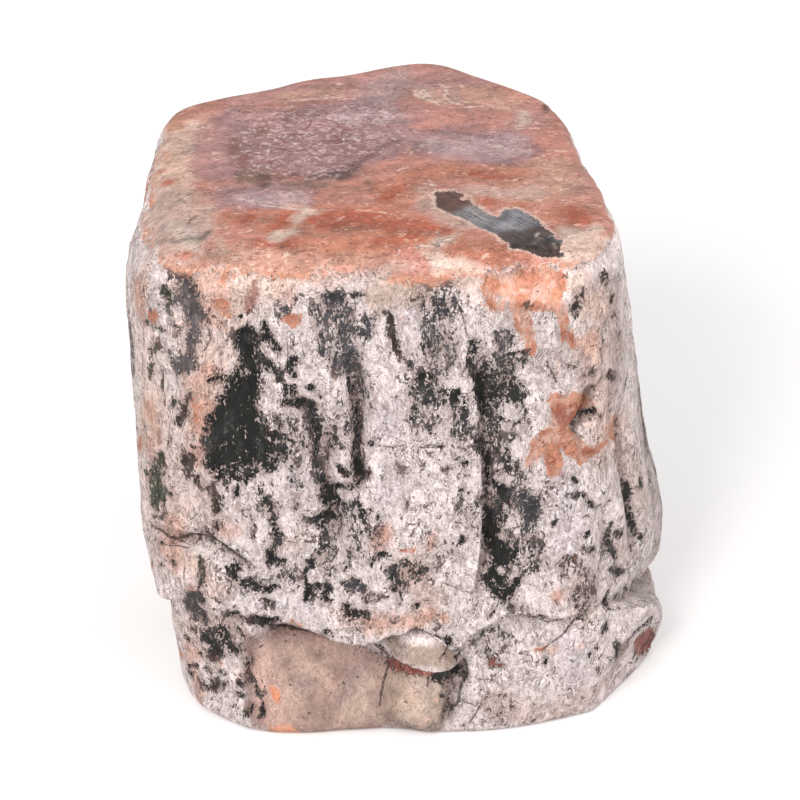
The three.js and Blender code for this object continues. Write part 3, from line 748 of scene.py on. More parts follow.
SIDE_BARE: tuple[Bare, ...] = (
    # The black hollow left of the middle, with its tongues and ragged foot.
    Bare(Tone.BLACK, 1.5, ((-18.9, 64.4, 1.6, -19.3, 62, 1.2, -19, 60.2, 1.5, -19.4, 57.5, 2.1,
        -20, 55, 2.5, -20, 52, 3.5, -20, 49, 3.8, -21.3, 47, 2.3, -22.8, 45.4, 1.1),
        (-23.3, 58.3, 0.35, -21.8, 58.5, 0.5, -20.5, 58.9, 0.6), (-17, 66.8, 0.35,
        -16.3, 65.2, 0.45, -15.5, 63.8, 0.5, -14.7, 62.6, 0.4), (-17.4, 61.2, 0.8, -16, 60.6, 0.8,
        -14.9, 59.6, 0.6), (-16, 48.5, 1.2), (-15.6, 50.5, 0.6), (-17.5, 47.5, 1.3))),
    Bare(Tone.BLACK, 0.15, ((-20.5, 45.5, 1.6), (-18.5, 46, 1.5), (-19.5, 45.6, 2),
        (-14.5, 50, 1.2), (-14.5, 48, 1), (-15.5, 46.3, 0.8))),
    Bare(Tone.BLACK, 0.7, ((-21.8, 43.3, 0.45, -21.7, 42, 0.2), (-20.4, 42.3, 0.4, -20.4, 41, 0.25),
        (-19.2, 43.7, 0.5, -19.3, 42.6, 0.2), (-22.4, 44, 0.6), (-18.5, 44.5, 0.4), (-15, 53.5, 0.4,
        -14.3, 52, 0.5, -15, 50.8, 0.5), (-19.9, 67.3, 0.2), (-18.9, 68.2, 0.3),
        (-18.2, 67.6, 0.25), (-18.9, 67, 0.15))),
    # Slate-purple wedge and green-black flecks further left.
    Bare(Tone.SLATE, 0.9, ((-31.5, 73.4, 0.3, -29.9, 72.6, 0.6, -28, 72.3, 0.5, -26.8, 70.8, 0.9,
        -25.6, 69.2, 1, -25.1, 67.3, 1.2, -25.1, 65.7, 0.8, -25.6, 63.6, 0.6, -25.7, 61.6, 0.6,
        -26.2, 60.2, 0.9, -27.5, 59.4, 1),)),
    Bare(Tone.SLATE, 0.0, ((-27.3, 72, 1.2), (-27, 70, 0.8, -27.2, 68, 0.5))),
    Bare(Tone.OLIVE, 0.7, ((-29.9, 70, 0.25, -29, 69.2, 0.45, -28.8, 68.1, 0.35),
        (-33.9, 63.4, 0.15, -32.4, 63.7, 0.25, -30.2, 64.1, 0.25, -29.3, 63.7, 0.25),
        (-32.7, 59.4, 0.35, -31.7, 60.5, 0.5, -30.9, 61.2, 0.5), (-32.7, 57.3, 0.2,
        -33.2, 56.1, 0.3, -33.7, 55, 0.2), (-30.5, 57.8, 0.12, -30.9, 56.3, 0.15, -31.1, 54.6, 0.2),
        (-28.4, 54, 0.3, -28.9, 52.9, 0.25), (-29.4, 48, 0.3, -30.3, 46.4, 0.2), (-31.3, 44.2, 0.4,
        -31.8, 42.6, 0.9, -32.1, 41, 1, -32.6, 38.6, 1.1, -33.1, 36, 0.8), (-34.6, 40.2, 0.25,
        -33.6, 40, 0.3), (-34.7, 39.3, 0.2), (-30, 38.9, 0.35, -29.8, 38.3, 0.2), (-31, 39, 0.15,
        -31.2, 37, 0.2, -31, 35.2, 0.3), (-33.8, 33.4, 0.15, -31.6, 34.5, 0.2), (-26.4, 30, 0.15,
        -26.1, 28.6, 0.25, -25.8, 27.4, 0.45, -26.2, 26, 0.3, -26.6, 25, 0.2), (-33.4, 25.6, 0.4),
        (-31.1, 27, 0.35), (-32.9, 29.4, 0.2))),
    Bare(Tone.SOOT_BROWN, 0.9, ((-25.7, 56, 0.25, -26.4, 54, 0.5, -27, 52.5, 0.75,
        -27.7, 50.8, 0.45), (-25.9, 46.2, 0.6, -26.9, 45.2, 0.8, -27.3, 44.6, 0.3),
        (-25.5, 48, 0.3), (-26.8, 43.4, 0.5), (-25.4, 43.2, 0.3, -25.7, 41.9, 0.25),
        (-23.6, 42, 0.5, -23.1, 40.2, 0.9, -23.3, 38.4, 0.6, -23.9, 37.4, 0.25), (-23.9, 35.8, 0.6,
        -23.6, 35.2, 0.4), (-25, 34.2, 0.6, -24.3, 33.4, 0.4), (-18.9, 38.4, 0.2, -18.6, 37, 0.3,
        -18.3, 36, 0.3, -18.6, 34.6, 0.35), (-17.3, 25, 0.25, -16.4, 24.4, 0.45), (-31.5, 5, 0.5,
        -29.5, 5.2, 0.7, -28, 6.2, 0.7, -26.6, 6.9, 0.4))),
    # Black chains down the front left.
    Bare(Tone.BLACK, 1.0, ((-17.4, 42.6, 0.25, -16.8, 41, 0.45, -16.1, 39.6, 0.7, -15.9, 38.3, 0.5,
        -16, 37, 0.4, -15.6, 35.6, 0.5, -15.6, 34, 0.6, -15.9, 32.5, 0.75, -16.2, 31.2, 0.8),
        (-16, 31.3, 0.7, -14.6, 31, 0.6), (-21.7, 28.9, 0.7, -21.2, 27.6, 0.5), (-20, 27.2, 0.45,
        -18.9, 27.2, 0.6, -17.8, 26.8, 0.55, -16.7, 26.3, 0.35, -15.8, 27.1, 0.35),
        (-23.2, 28.5, 0.2))),
    # Along the underside of the ledge, with black painted shadow in the gap under its overhang, and
    # the lower left corner.
    Bare(Tone.SOOT_BROWN, 0.5, ((-26.5, 20.3, 0.25, -24, 19.6, 0.3, -21, 19, 0.25, -18, 18.3, 0.3,
        -15, 17.4, 0.25, -12, 16.7, 0.15),)),
    # Its chains by the ledge, from s -26 to -15 at heights 18.7 to 22, are black painted shadow in
    # the gap under the overhang; the rest is the lower left corner's dark stone.
    Bare(Tone.COAL, 1.0, ((-26.8, 23.7, 0.6, -28, 22.6, 0.9, -29.2, 21.7, 0.8, -30, 20.8, 0.7),
        (-26.4, 22.7, 0.8), (-28.2, 15.4, 0.5, -26.8, 15.9, 0.5, -26.3, 14.8, 0.5, -25.3, 13.6, 0.4,
        -24.5, 12.7, 0.35), (-29, 14, 0.8, -27.5, 13.7, 1.2, -27, 12.5, 1, -27.8, 11.5, 1,
        -28, 10.8, 0.5), (-22.8, 11, 0.3, -22.3, 10, 0.5, -21.6, 9.3, 0.6, -20.9, 8.2, 0.7,
        -20.7, 7, 0.5, -20.5, 6.3, 0.3), (-23.7, 8, 0.25, -22.8, 7.9, 0.2), (-20.1, 6.3, 0.3,
        -19.8, 5, 0.25, -19.9, 3.5, 0.3, -20.5, 2.8, 0.3), (-21.2, 5, 0.3, -21.9, 4, 0.35,
        -22.4, 2.9, 0.3), (-26.2, 18.7, 0.3, -25, 19.4, 0.5, -24, 20, 0.2), (-25, 21.8, 0.15,
        -23.5, 21.8, 0.3, -22.5, 21.6, 0.45, -21.5, 22, 0.25, -20.5, 22, 0.15), (-24.3, 23.6, 0.25,
        -23, 23.5, 0.2), (-21.2, 19.6, 0.25, -20, 19.4, 0.4, -18.7, 19.3, 0.5, -17.8, 19.6, 0.35),
        (-19.2, 21.9, 0.2, -17.5, 21.9, 0.35, -16.2, 21.6, 0.4, -15.4, 22, 0.3), (-23.5, 16.5, 0.5,
        -23.2, 15.7, 0.4), (-26.1, 8.6, 0.3, -27, 9, 0.3), (-34, 7, 0.3, -31.5, 8.2, 0.2),
        (-24.3, 6, 0.3, -23, 6.2, 0.2), (-33.8, 5.7, 0.5))),
    Bare(Tone.SLATE, 0.8, ((-32, 19.2, 0.6, -31, 18.7, 1, -30, 17.8, 0.8, -28.9, 17, 0.5),
        (-30.3, 16.9, 0.5), (-29, 8.3, 0.5))),
    Bare(Tone.COAL, 0.2, ((-31, 15, 0.5), (-32.5, 12.5, 0.5), (-30.5, 12.7, 0.4),
        (-30.3, 10.8, 0.3))),
    # The two gullies of the front and the marks that join them.
    Bare(Tone.BLACK, 0.8, ((-13.5, 55.3, 0.5, -12.2, 55, 0.8, -11.3, 54.5, 0.7, -11, 53, 0.45,
        -10.6, 51.5, 0.35, -10.5, 50, 0.5, -10.3, 48, 0.55, -10.2, 46.3, 0.45, -9.8, 44.8, 0.5,
        -9.5, 43.3, 0.7, -9, 41.8, 0.7, -8.5, 40.6, 0.8, -8.8, 39.5, 0.45), (-13.4, 57.4, 0.5,
        -12.8, 56.4, 0.3), (-10.5, 57.4, 0.6, -11.3, 57.6, 0.3), (-9.4, 56.4, 0.3), (-13, 61.3, 0.5,
        -13.6, 60.5, 0.3, -12.7, 59.4, 0.3), (-9.4, 49.9, 0.35, -7.3, 50.1, 0.25),
        (-9.2, 49.3, 0.15, -9, 47.5, 0.18, -9.1, 46.2, 0.12), (-8.7, 49, 0.25, -8.3, 48.2, 0.3),
        (-6.7, 48.7, 0.55), (-5.6, 60, 0.15, -5.5, 57, 0.15, -5.1, 55, 0.3, -4.8, 53, 0.45,
        -4.6, 51.3, 0.35, -4.8, 49.2, 0.5, -5, 47.5, 0.6, -4.8, 46, 0.5, -4.5, 44.8, 0.55,
        -4.4, 43.7, 0.3), (-7.6, 45.8, 0.3, -6.9, 45.2, 0.45, -6.1, 44.7, 0.35, -5.6, 44.3, 0.15),
        (-8.2, 42, 0.15, -7, 42.6, 0.3, -6, 43, 0.35, -5, 42.7, 0.45, -4.4, 43, 0.35),
        (-4.5, 41.5, 0.15, -4.7, 40.3, 0.4, -5.5, 40, 0.4, -6.7, 40.1, 0.4, -7.6, 40.2, 0.4),
        (-8.7, 38.7, 0.2, -7.6, 39.5, 0.2), (-4.5, 40, 0.35, -3.9, 39, 0.45, -3.4, 38.1, 0.4),
        (-10.2, 37.2, 0.5, -9.2, 37.5, 0.8, -8.3, 37.6, 0.6, -7.8, 36.9, 0.3), (-9.6, 36.3, 0.5,
        -9, 35.3, 0.6, -8.9, 34.5, 0.4), (-11.5, 37.3, 0.3, -10.5, 36.4, 0.15), (-5.8, 33, 0.5),
        (-5.8, 31, 0.3, -6.3, 30, 0.3), (-11.6, 31, 0.5, -10.8, 31, 0.6), (-11.4, 30.3, 0.4,
        -11.7, 29, 0.25, -11.6, 28, 0.2, -11, 27, 0.45, -11.3, 25.4, 0.45), (-10.5, 28.7, 0.2),
        (-10.2, 27.6, 0.25, -9.3, 27.5, 0.5, -8.3, 27.2, 0.5, -8.9, 26.3, 0.5, -8.8, 25.2, 0.5),
        (-6.8, 28.4, 0.15, -5.3, 28.6, 0.2, -4, 28.1, 0.2), (-12.9, 39, 0.3, -12.6, 39.7, 0.3),
        (-3, 49.3, 0.45), (-3.3, 44.8, 0.2), (-1.9, 38.8, 0.2, -1.8, 38, 0.2), (-2.8, 39.7, 0.25))),
    Bare(Tone.COAL, -0.05, ((-6.5, 38, 1.4), (-5, 37.8, 1.2), (-5.5, 39.2, 0.9), (-8.9, 32.5, 1.1),
        (-8.7, 30.3, 1.1), (0.8, 30, 1.5), (2.8, 30.3, 1.6), (1, 27.8, 1))),
    Bare(Tone.COAL, -0.4, ((-6, 34.5, 1.3), (-5.5, 33, 1), (-11, 37.5, 1), (-11, 34, 1.3),
        (-10, 32.5, 1.2), (-3.5, 36, 1.2), (-3.3, 33, 1.2), (-13, 52, 1.4, -12.4, 48, 1.3,
        -12, 44, 1.2), (-7.4, 54, 1.2, -7.2, 50, 1), (-12.6, 33, 1, -13.5, 28, 1.4))),
    Bare(Tone.BLUE_GREY, 0.4, ((-6.6, 28, 0.3, -5.5, 27.6, 0.8, -4.2, 27.2, 0.8),)),
    Bare(Tone.BLACK, 0.8, ((-2.8, 31, 0.2, -2.5, 32, 0.25, -1.8, 32.8, 0.25, -1, 33, 0.25,
        -0.3, 32.6, 0.2), (-2.6, 26.4, 0.15, -1.6, 26.1, 0.3, -0.6, 25.9, 0.15), (0.2, 29.3, 0.4),
        (0.5, 27.6, 0.5), (1.1, 26.2, 0.4), (0.9, 24.8, 0.4), (2.2, 30.2, 0.4), (3.6, 29.7, 0.4),
        (1.5, 41.6, 0.1, 1.8, 40.6, 0.2, 1.9, 39.4, 0.1), (-6, 24.2, 0.5), (-5.3, 23.2, 0.7),
        (-4, 23, 0.5), (-3.5, 22.7, 0.3), (-3.8, 25.6, 0.4), (-2.2, 25.5, 0.3), (3.2, 24.4, 0.4),
        (-9.3, 19.8, 0.2, -8.6, 19.5, 0.4, -7.9, 19.2, 0.15), (-12, 17.5, 0.12, -10.2, 17, 0.2,
        -9.3, 16.5, 0.3), (-2.8, 14.7, 0.3), (-1.5, 14.9, 0.3), (3.2, 20.2, 0.3))),
    Bare(Tone.DIRT, 0.4, ((1, 45.7, 0.35, 1.5, 45.1, 0.4), (3.9, 46.6, 0.3), (6.8, 45.6, 0.3,
        7, 44.6, 0.15), (6.3, 48.9, 0.3), (0.8, 63, 0.3, 1.1, 62, 0.25))),
    Bare(Tone.SOOT_BROWN, 0.5, ((-1.3, 68.5, 0.3, -0.2, 68, 0.3, -0.2, 66.5, 0.35, 0.2, 64.5, 0.3,
        0.8, 63, 0.3),)),
    # Speckled grey below the front of the top.
    Bare(Tone.BLUE_GREY, 0.25, ((-7, 68.3, 0.8, -6.3, 66.5, 0.9, -5.8, 64.8, 0.9, -5.6, 63, 0.8,
        -5.4, 61, 0.5), (-8.5, 68.5, 0.4), (-3.8, 65.5, 0.7), (6, 72.4, 0.8), (7.5, 72.2, 0.5),
        (6.8, 68.5, 0.8), (5.4, 66.5, 0.3), (5.2, 65, 0.3), (4.8, 71.7, 0.3))),
    Bare(Tone.BLUE_GREY, -0.12, ((-8, 68, 2.4, -6.5, 64, 2.6, -6, 61.5, 2), (6, 71.5, 2.3, 6, 66, 2,
        6, 62, 1.8), (-3.7, 59.5, 0.7, -3.4, 57, 0.7, -3.2, 54, 0.6), (-3, 67, 0.6),
        (-2.5, 66, 0.6), (-14.3, 68.7, 0.5), (-13, 70, 0.3))),
    Bare(Tone.COAL, 0.5, ((-10.5, 70.6, 0.2, -8, 70.4, 0.22, -6, 70.1, 0.2), (-5.5, 70.5, 0.2,
        -3.8, 70.6, 0.2))),
    # Front right, round the long step.
    Bare(Tone.COAL, -0.15, ((4.5, 57, 2.2), (5, 53.5, 2.8), (7.5, 55, 1.8), (8.5, 52, 1.6),
        (12.5, 51.5, 1.3), (14, 52, 0.9), (14.5, 49.5, 1.8), (16.5, 50.3, 1), (17.6, 51.7, 0.5),
        (14.5, 46.5, 1.2), (16.3, 44.5, 0.9), (17.2, 43.3, 0.8), (17.8, 42.3, 0.4), (17.5, 33, 1.6),
        (19, 32.5, 1.6), (19.5, 30.5, 1.3), (18.5, 29, 1.2), (18.3, 35, 1))),
    Bare(Tone.COAL, -0.45, ((5, 50, 1.6, 8, 48, 2, 10, 47.5, 1.2), (5.2, 32, 1.3), (6.8, 33, 1.2),
        (16.5, 4, 2), (15, 15.5, 1.8), (9.5, 40, 1, 9.8, 36, 1), (3, 60, 1, 4, 63, 0.8))),
    Bare(Tone.BLACK, 1.0, ((3.3, 59.2, 0.5, 3.9, 59.7, 0.5, 5, 59.8, 0.25), (5.5, 59, 0.4),
        (8.2, 56.9, 0.6), (9.6, 56.2, 0.5), (8.6, 53, 0.3), (10.4, 64.3, 0.5, 11.1, 63.3, 0.6,
        10.2, 62.5, 0.45, 9.8, 61.5, 0.35, 10.5, 60, 0.6, 10.8, 58.9, 0.4), (11, 59, 0.5,
        11.4, 57.5, 1, 11.8, 56, 1, 12.3, 54.6, 0.8, 12.6, 53, 0.6), (12.6, 61.8, 0.2,
        14, 62.1, 0.25, 16, 62, 0.2, 18.1, 62.4, 0.15), (12.6, 61.8, 0.15, 11.8, 61.3, 0.15,
        11.2, 60.5, 0.2), (17, 61, 0.6, 17.4, 60.6, 0.3), (14.6, 52.2, 0.15, 15.5, 51.4, 0.25,
        16.6, 51.2, 0.25, 17.5, 52.2, 0.25, 17.8, 53.3, 0.15), (16.7, 52.9, 0.3), (11, 50, 0.6,
        11.5, 48.8, 0.5, 12.3, 47.6, 0.4, 12.8, 46.4, 0.3), (13.2, 46.5, 0.3, 13.3, 45, 0.35,
        13.2, 43, 0.2, 13.3, 41, 0.2, 13.4, 39, 0.3, 13.4, 37, 0.35, 13.4, 35, 0.35,
        13.3, 33.5, 0.5), (13.9, 42.5, 0.4, 14.3, 41.3, 0.7, 15.2, 40.6, 0.9, 16.2, 40.8, 0.6,
        15.8, 39.8, 0.5, 16.6, 38.7, 0.4), (13.6, 43.2, 0.15, 14.3, 43.8, 0.2, 15, 43.4, 0.15),
        (14, 33, 0.9, 14.8, 32, 1.3, 15.5, 30.8, 1.6, 15, 29.5, 1.4, 14.3, 28, 1.3, 14, 26.8, 1.6,
        15, 25.8, 1.4, 14.8, 24.8, 0.9), (17.2, 27.2, 0.3, 16.3, 25.8, 0.4), (16.4, 23.5, 0.4,
        15.6, 23.7, 0.3), (13.3, 23.6, 0.2, 13.2, 22.8, 0.25, 12.3, 22.3, 0.25), (13.6, 20.6, 0.25,
        13.9, 20, 0.4, 14.7, 20.5, 0.2, 14.7, 21.6, 0.15), (11.7, 40.9, 0.3, 12, 40, 0.15),
        (9, 42.3, 0.4, 9.9, 42, 0.15), (9, 41, 0.3), (10.4, 39.7, 0.2), (9, 35, 0.45,
        8.8, 34, 0.25), (8.2, 47.2, 0.3), (9.2, 46.5, 0.5), (10, 46.8, 0.3), (8.7, 45, 0.15,
        8.4, 44.5, 0.15), (9.5, 44.7, 0.3))),
    Bare(Tone.COAL, 0.22, ((13.5, 60, 1.4), (15, 60, 1.5), (16.5, 60.8, 0.8), (13.5, 57.5, 1.6),
        (15.5, 57, 1.6), (14, 55, 1.6), (16.5, 55.5, 1.2), (14.2, 39, 0.8, 14.6, 36.5, 0.9,
        14.4, 34.5, 0.8))),
    Bare(Tone.BLUE_GREY, 0.4, ((13.3, 65.3, 0.4, 13.8, 64.2, 0.6, 14.8, 65.2, 0.9, 15.2, 63.9, 0.9,
        14.2, 63, 0.6), (17.5, 40, 1, 18.5, 38.5, 1.6, 19, 37, 1.4, 19, 35.5, 1))),
    # Scattered pits and streaks of the right, and black painted shadow at the foot of the hole,
    # from (25, 50) to (27.8, 50.8).
    Bare(Tone.COAL, 0.9, ((21.9, 35, 0.3, 22.3, 35.7, 0.2), (23.5, 39.4, 0.25, 25.2, 39, 0.3),
        (24.1, 42.7, 0.12, 24.6, 41.7, 0.25, 25.2, 41, 0.2), (26, 39.3, 0.15, 26.6, 38, 0.25,
        27, 37.3, 0.4, 27.8, 36.3, 0.2, 28.7, 35.8, 0.2, 30, 35.5, 0.12), (26, 35.4, 0.1,
        26.8, 35.3, 0.2), (28.2, 35, 0.15), (26.9, 32.4, 0.4, 27, 31.9, 0.2), (30.9, 38, 0.3),
        (31.9, 32, 0.2, 31.9, 30.5, 0.35, 31.7, 29, 0.5, 32.3, 27.8, 0.6, 33, 26.5, 0.5,
        33.8, 25, 0.3), (37.1, 35, 0.3, 37.3, 33.5, 0.4, 37.3, 32, 0.35, 37.6, 30.5, 0.4,
        38.4, 28.5, 0.35, 39.2, 26.8, 0.3, 39.7, 25.6, 0.3, 41, 24, 0.25), (32.5, 24, 0.3,
        33.8, 23, 0.5, 35, 21.9, 0.5, 36.5, 21.3, 0.3), (18, 68.7, 0.5), (18, 69.4, 0.35),
        (24, 67.7, 0.7), (24.1, 66.5, 0.3), (37, 50.2, 0.2, 38.2, 51.4, 0.15), (25, 50, 0.25,
        27.8, 50.8, 0.3))),
    Bare(Tone.SOOT_BROWN, 0.7, ((26.1, 30.3, 0.25, 27.2, 29.6, 0.35, 28.4, 29, 0.5),
        (23.8, 29.6, 0.25), (28.9, 70.5, 0.6), (30.7, 66.5, 0.4), (31.5, 64, 0.5), (33.5, 60, 0.4),
        (34.5, 59, 0.3), (30.5, 55.6, 0.4, 32.5, 54, 0.3), (28.3, 55.5, 0.3), (27.3, 57, 0.4),
        (33, 29.5, 0.4, 34.3, 28.8, 0.4), (25, 69.2, 0.4))),
    Bare(Tone.SOOT_BROWN, -0.22, ((24.5, 28, 1.5, 27, 24, 2, 27.5, 20.5, 1.4), (34.5, 10, 1.3))),
    Bare(Tone.OLIVE, 0.6, ((39.5, 33.7, 0.5, 39.8, 34.5, 0.3),)),
    # Below the ledge: the slot under the plate, whose dark red and brown underside is partly its
    # own colour and partly painted shade, black painted shadow below and beside the plate,
    # fissures' ends and chips.
    Bare(Tone.OXBLOOD, 1.1, ((0.2, 12.4, 1, 1.5, 12.2, 1.3, 3.5, 11.9, 1.2, 5.6, 11.5, 1),)),
    Bare(Tone.BROWN, 1.0, ((6, 11.5, 1, 8.4, 11, 0.8),)),
    # Its first chain, under the plate at height 10, and the mark at (8.9, 14.8) are black painted
    # shadow; the rest mark fissures' ends and chips.
    Bare(Tone.COAL, 0.8, ((6, 10, 0.35, 8, 10.1, 0.6, 10.4, 10.2, 0.7), (7.5, 18.5, 0.35),
        (8.9, 14.8, 0.4, 9.6, 15, 0.3), (7.3, 15.2, 0.25), (6.4, 14.2, 0.2), (7.3, 7.5, 0.3),
        (16.3, 16.8, 0.15, 16.6, 16.3, 0.2, 17.5, 16.4, 0.2), (17, 15, 0.3), (18.2, 21, 0.5,
        19, 20.7, 0.3), (11.9, 18.8, 0.15), (21.8, 13.5, 0.2, 21.8, 12, 0.2), (22.9, 11.4, 0.15),
        (28, 14.2, 0.2, 28.7, 14.4, 0.2), (28.1, 12.8, 0.2, 28.4, 11.2, 0.15), (29.1, 12.7, 0.3,
        29.4, 13.5, 0.2), (28.1, 8.5, 0.15), (30.3, 14.5, 0.3, 30.8, 15.6, 0.4, 31.4, 16.3, 0.25,
        30.8, 13.3, 0.15), (32.4, 19.8, 0.5, 32.2, 18.5, 0.45), (32.5, 12.2, 0.3, 33, 11.2, 0.35,
        33.5, 10, 0.35, 33.6, 9, 0.25), (36.3, 11.4, 0.3, 38, 11, 0.2, 40.5, 11.2, 0.5),
        (24.6, 23, 0.2), (24.7, 22.4, 0.15), (25.3, 22.8, 0.2), (25.4, 21.5, 0.2))),
    Bare(Tone.OXBLOOD, 0.9, ((15, 12.3, 0.3, 15.8, 12.6, 0.25, 14.8, 11.6, 0.15, 16.5, 11.7, 0.3),
        (16.3, 6.8, 0.3), (39, 8.6, 0.7, 41, 7.2, 1.8, 43.5, 5, 2, 45.5, 3, 1.2), (43, 17.2, 0.4))),
    # Where the side turns away to the back.
    Bare(Tone.COAL, 0.9, ((-46, 48, 0.5, -47, 40, 0.8, -46.5, 34, 0.5),)),
    Bare(Tone.COAL, -0.08, ((-50, 26, 2, -49, 18, 1.8), (50, 42, 1.6, 50, 34, 1.4), (-41, 60, 1.3,
        -42, 52, 1.3))),
)
SIDE_ISLANDS: Marks = (
    (-17.6, 62.9, 0.5), (-16.9, 59.3, 0.6), (-19.1, 59.3, 0.3), (16, 53.2, 1.3), (15, 28.6, 0.5),
)
SIDE_WASHES: tuple[Wash, ...] = (
    # Painted shade: grey over the right side, round the back and on the front right, where the side
    # turns from the light.
    Wash(Tone.GREY_AND_PAINTED_SHADE, 3.0, 2.0, 0.55, ((28, 72, 3, 31, 62, 3.5, 34, 52, 3), (50, 40, 8, 56, 14, 6),
        (-60, 60, 9, -75, 20, 12), (90, 60, 10, 85, 25, 10), (20, 62, 2, 26, 58, 2))),
    Wash(Tone.PEACH, 2.0, 1.8, 0.5, ((-28, 38, 1), (-23, 62, 2, -23.5, 56, 1.6, -24, 50, 1.6),
        (-13.5, 34, 0.7), (-33, 52, 2, -36, 46, 2), (31, 45, 3, 36, 44, 3), (-18, 72, 3,
        -8, 73.5, 2), (28, 66, 2.5, 27, 60, 2))),
    Wash(Tone.PEACH, 3.0, 2.5, 0.35, ((-34, 60, 4, -32, 45, 4.5, -31, 30, 4.5), (-25, 66, 3,
        -25, 50, 3, -26, 38, 3), (-31, 14, 4, -24, 18, 3), (28, 58, 3, 30, 48, 3.5))),
    Wash(Tone.PEACH, 1.4, 1.4, 0.55, ((-27, 72, 2, -22, 70.5, 2.2, -20, 67, 1.6), (-16, 73, 1.6,
        -9, 73.4, 1.4, -4, 73.4, 1.5), (9, 72.5, 1.5, 13, 71, 2), (24, 71, 2, 26, 67, 2),
        (-36, 66, 2, -34, 70, 2), (2, 31, 1.6, 5, 24, 2, 3, 22, 1.5), (-6, 22.5, 1.5, -1, 21, 1.6),
        (-27, 28, 2, -24, 25, 2))),
    Wash(Tone.TAN, 1.0, 0.9, 0.8, ((-2, 70.6, 1.8, 2, 71, 1.9, 4, 70.5, 1.4), (-1, 72.6, 1,
        3.5, 72.5, 1))),
    Wash(Tone.LAVENDER, 2.2, 1.8, 0.6, ((2, 67.5, 2), (-0.5, 54.5, 2, -0.8, 51, 1.6), (22, 43, 2,
        23.5, 36, 2.6, 24, 30, 2.2), (25, 14, 2.5, 27, 9, 2.2), (0, 44, 2.2, -1, 40, 1.6),
        (-13.5, 46, 1, -13, 41, 1.4), (-17.5, 24.5, 1.4, -12, 23.5, 1.6))),
    Wash(Tone.PINK, 0.7, 0.4, 0.8, ((-1.1, 37, 0.4, -0.8, 35, 0.5), (5.2, 35.5, 0.3,
        4.8, 33.5, 0.3), (22.5, 24, 1), (6.8, 22, 0.8), (22.8, 14.3, 0.4), (26.5, 14.2, 0.3),
        (-23.6, 60.1, 0.6), (3.5, 20.8, 0.3, 5, 21.8, 0.3, 5.5, 23, 0.3))),
    Wash(Tone.PINK, 1.3, 1.8, 0.6, ((-24.5, 71, 1.6, -23, 67, 1.3), (-24.5, 58, 1.4, -24, 52, 1.4,
        -25, 46, 1.3), (-34, 50, 1.6, -33, 44, 1.2), (-29.5, 35, 2, -31, 28, 2), (-22, 35, 1.3),
        (-35, 68, 1.4, -34.5, 64, 1.3), (-28, 24, 1.4), (-14, 70.5, 1.2), (-2, 35, 1.4),
        (-33, 10, 1.6, -31, 3, 1.4), (5, 22.5, 1.2, -2, 21.5, 1.2), (26, 62, 1.4), (32, 47, 1.6))),
    # The smooth broken face under the ledge, its rusty left end, and umber painted as the shadow
    # under the ledge's overhang.
    Wash(Tone.BEIGE, 1.0, 0.9, 0.95, ((-20.6, 15.5, 1.6, -20.5, 13.5, 3.2, -15, 10.5, 7.8,
        -9, 9, 7.6, -3.5, 8, 5.7), (-19.5, 4, 3.2, -12, 2, 3.5, -4, 1.5, 3))),
    Wash(Tone.SMOKE, 2.0, 1.4, 0.3, ((-6, 11, 1.6, -5, 6, 2, -6, 3, 1.4), (-13, 8, 1.2))),
    Wash(Tone.SAND, 2.0, 1.2, 0.55, ((-20, 14, 2, -18.8, 6, 2.6, -18, 2, 2),)),
    # Umber as painted shadow below the ledge's overhang.
    Wash(Tone.UMBER, 1.6, 0.8, 0.6, ((-19, 18, 1, -15, 17, 1.3, -10, 15.6, 1), (-5, 13, 0.8,
        -8.5, 9.5, 0.7, -12, 6, 0.6))),
    Wash(Tone.SAND, 1.4, 1.0, 0.45, ((15, 6, 2, 18, 4, 2.4, 21, 3, 2), (26, 3, 2.5, 33, 5, 2))),
    Wash(Tone.PUTTY, 1.0, 0.9, 0.9, ((1.5, 8.5, 3.5, 6, 8, 3), (1, 3.5, 3, 6, 3.5, 2.8),
        (0, 17, 1.4, 3, 15.6, 2, 7.5, 14.6, 2.2))),
    Wash(Tone.TAN, 1.8, 2.2, 0.5, ((-5, 8, 1.6, -6.5, 3.5, 2), (-14, 12.5, 1.8, -11, 9, 1.6),
        (-15, 5, 1.6), (3, 6, 1.6))),
    Wash(Tone.SAND, 1.8, 1.6, 0.4, ((27, 24, 2.5, 27.5, 20, 2), (34.5, 28, 1.5, 35.5, 24, 1.3),
        (27.5, 57, 2, 29, 50, 2.5), (31, 66, 2, 33, 58, 2.5), (37, 40, 2.5, 40, 30, 2.5))),
    Wash(Tone.UMBER, 1.2, 0.6, 0.5, ((34.8, 9.5, 1.6, 35.5, 7, 1.5), (30, 42, 1),
        (40.5, 15.5, 0.5))),
    Wash(Tone.WHITE, 2.0, 1.8, 0.25, ((-12, 72.3, 0.8, -7, 72.2, 0.7, -2.5, 71.6, 0.6),
        (-20, 66.6, 0.35, -18.5, 66.4, 0.3), (21, 31, 1.2, 22, 27.5, 1.3), (-1, 47, 1.5,
        1, 42, 1.6), (8, 38, 1, 8, 30, 1.3), (-12, 20.5, 1, -5, 19.6, 0.9))),
)
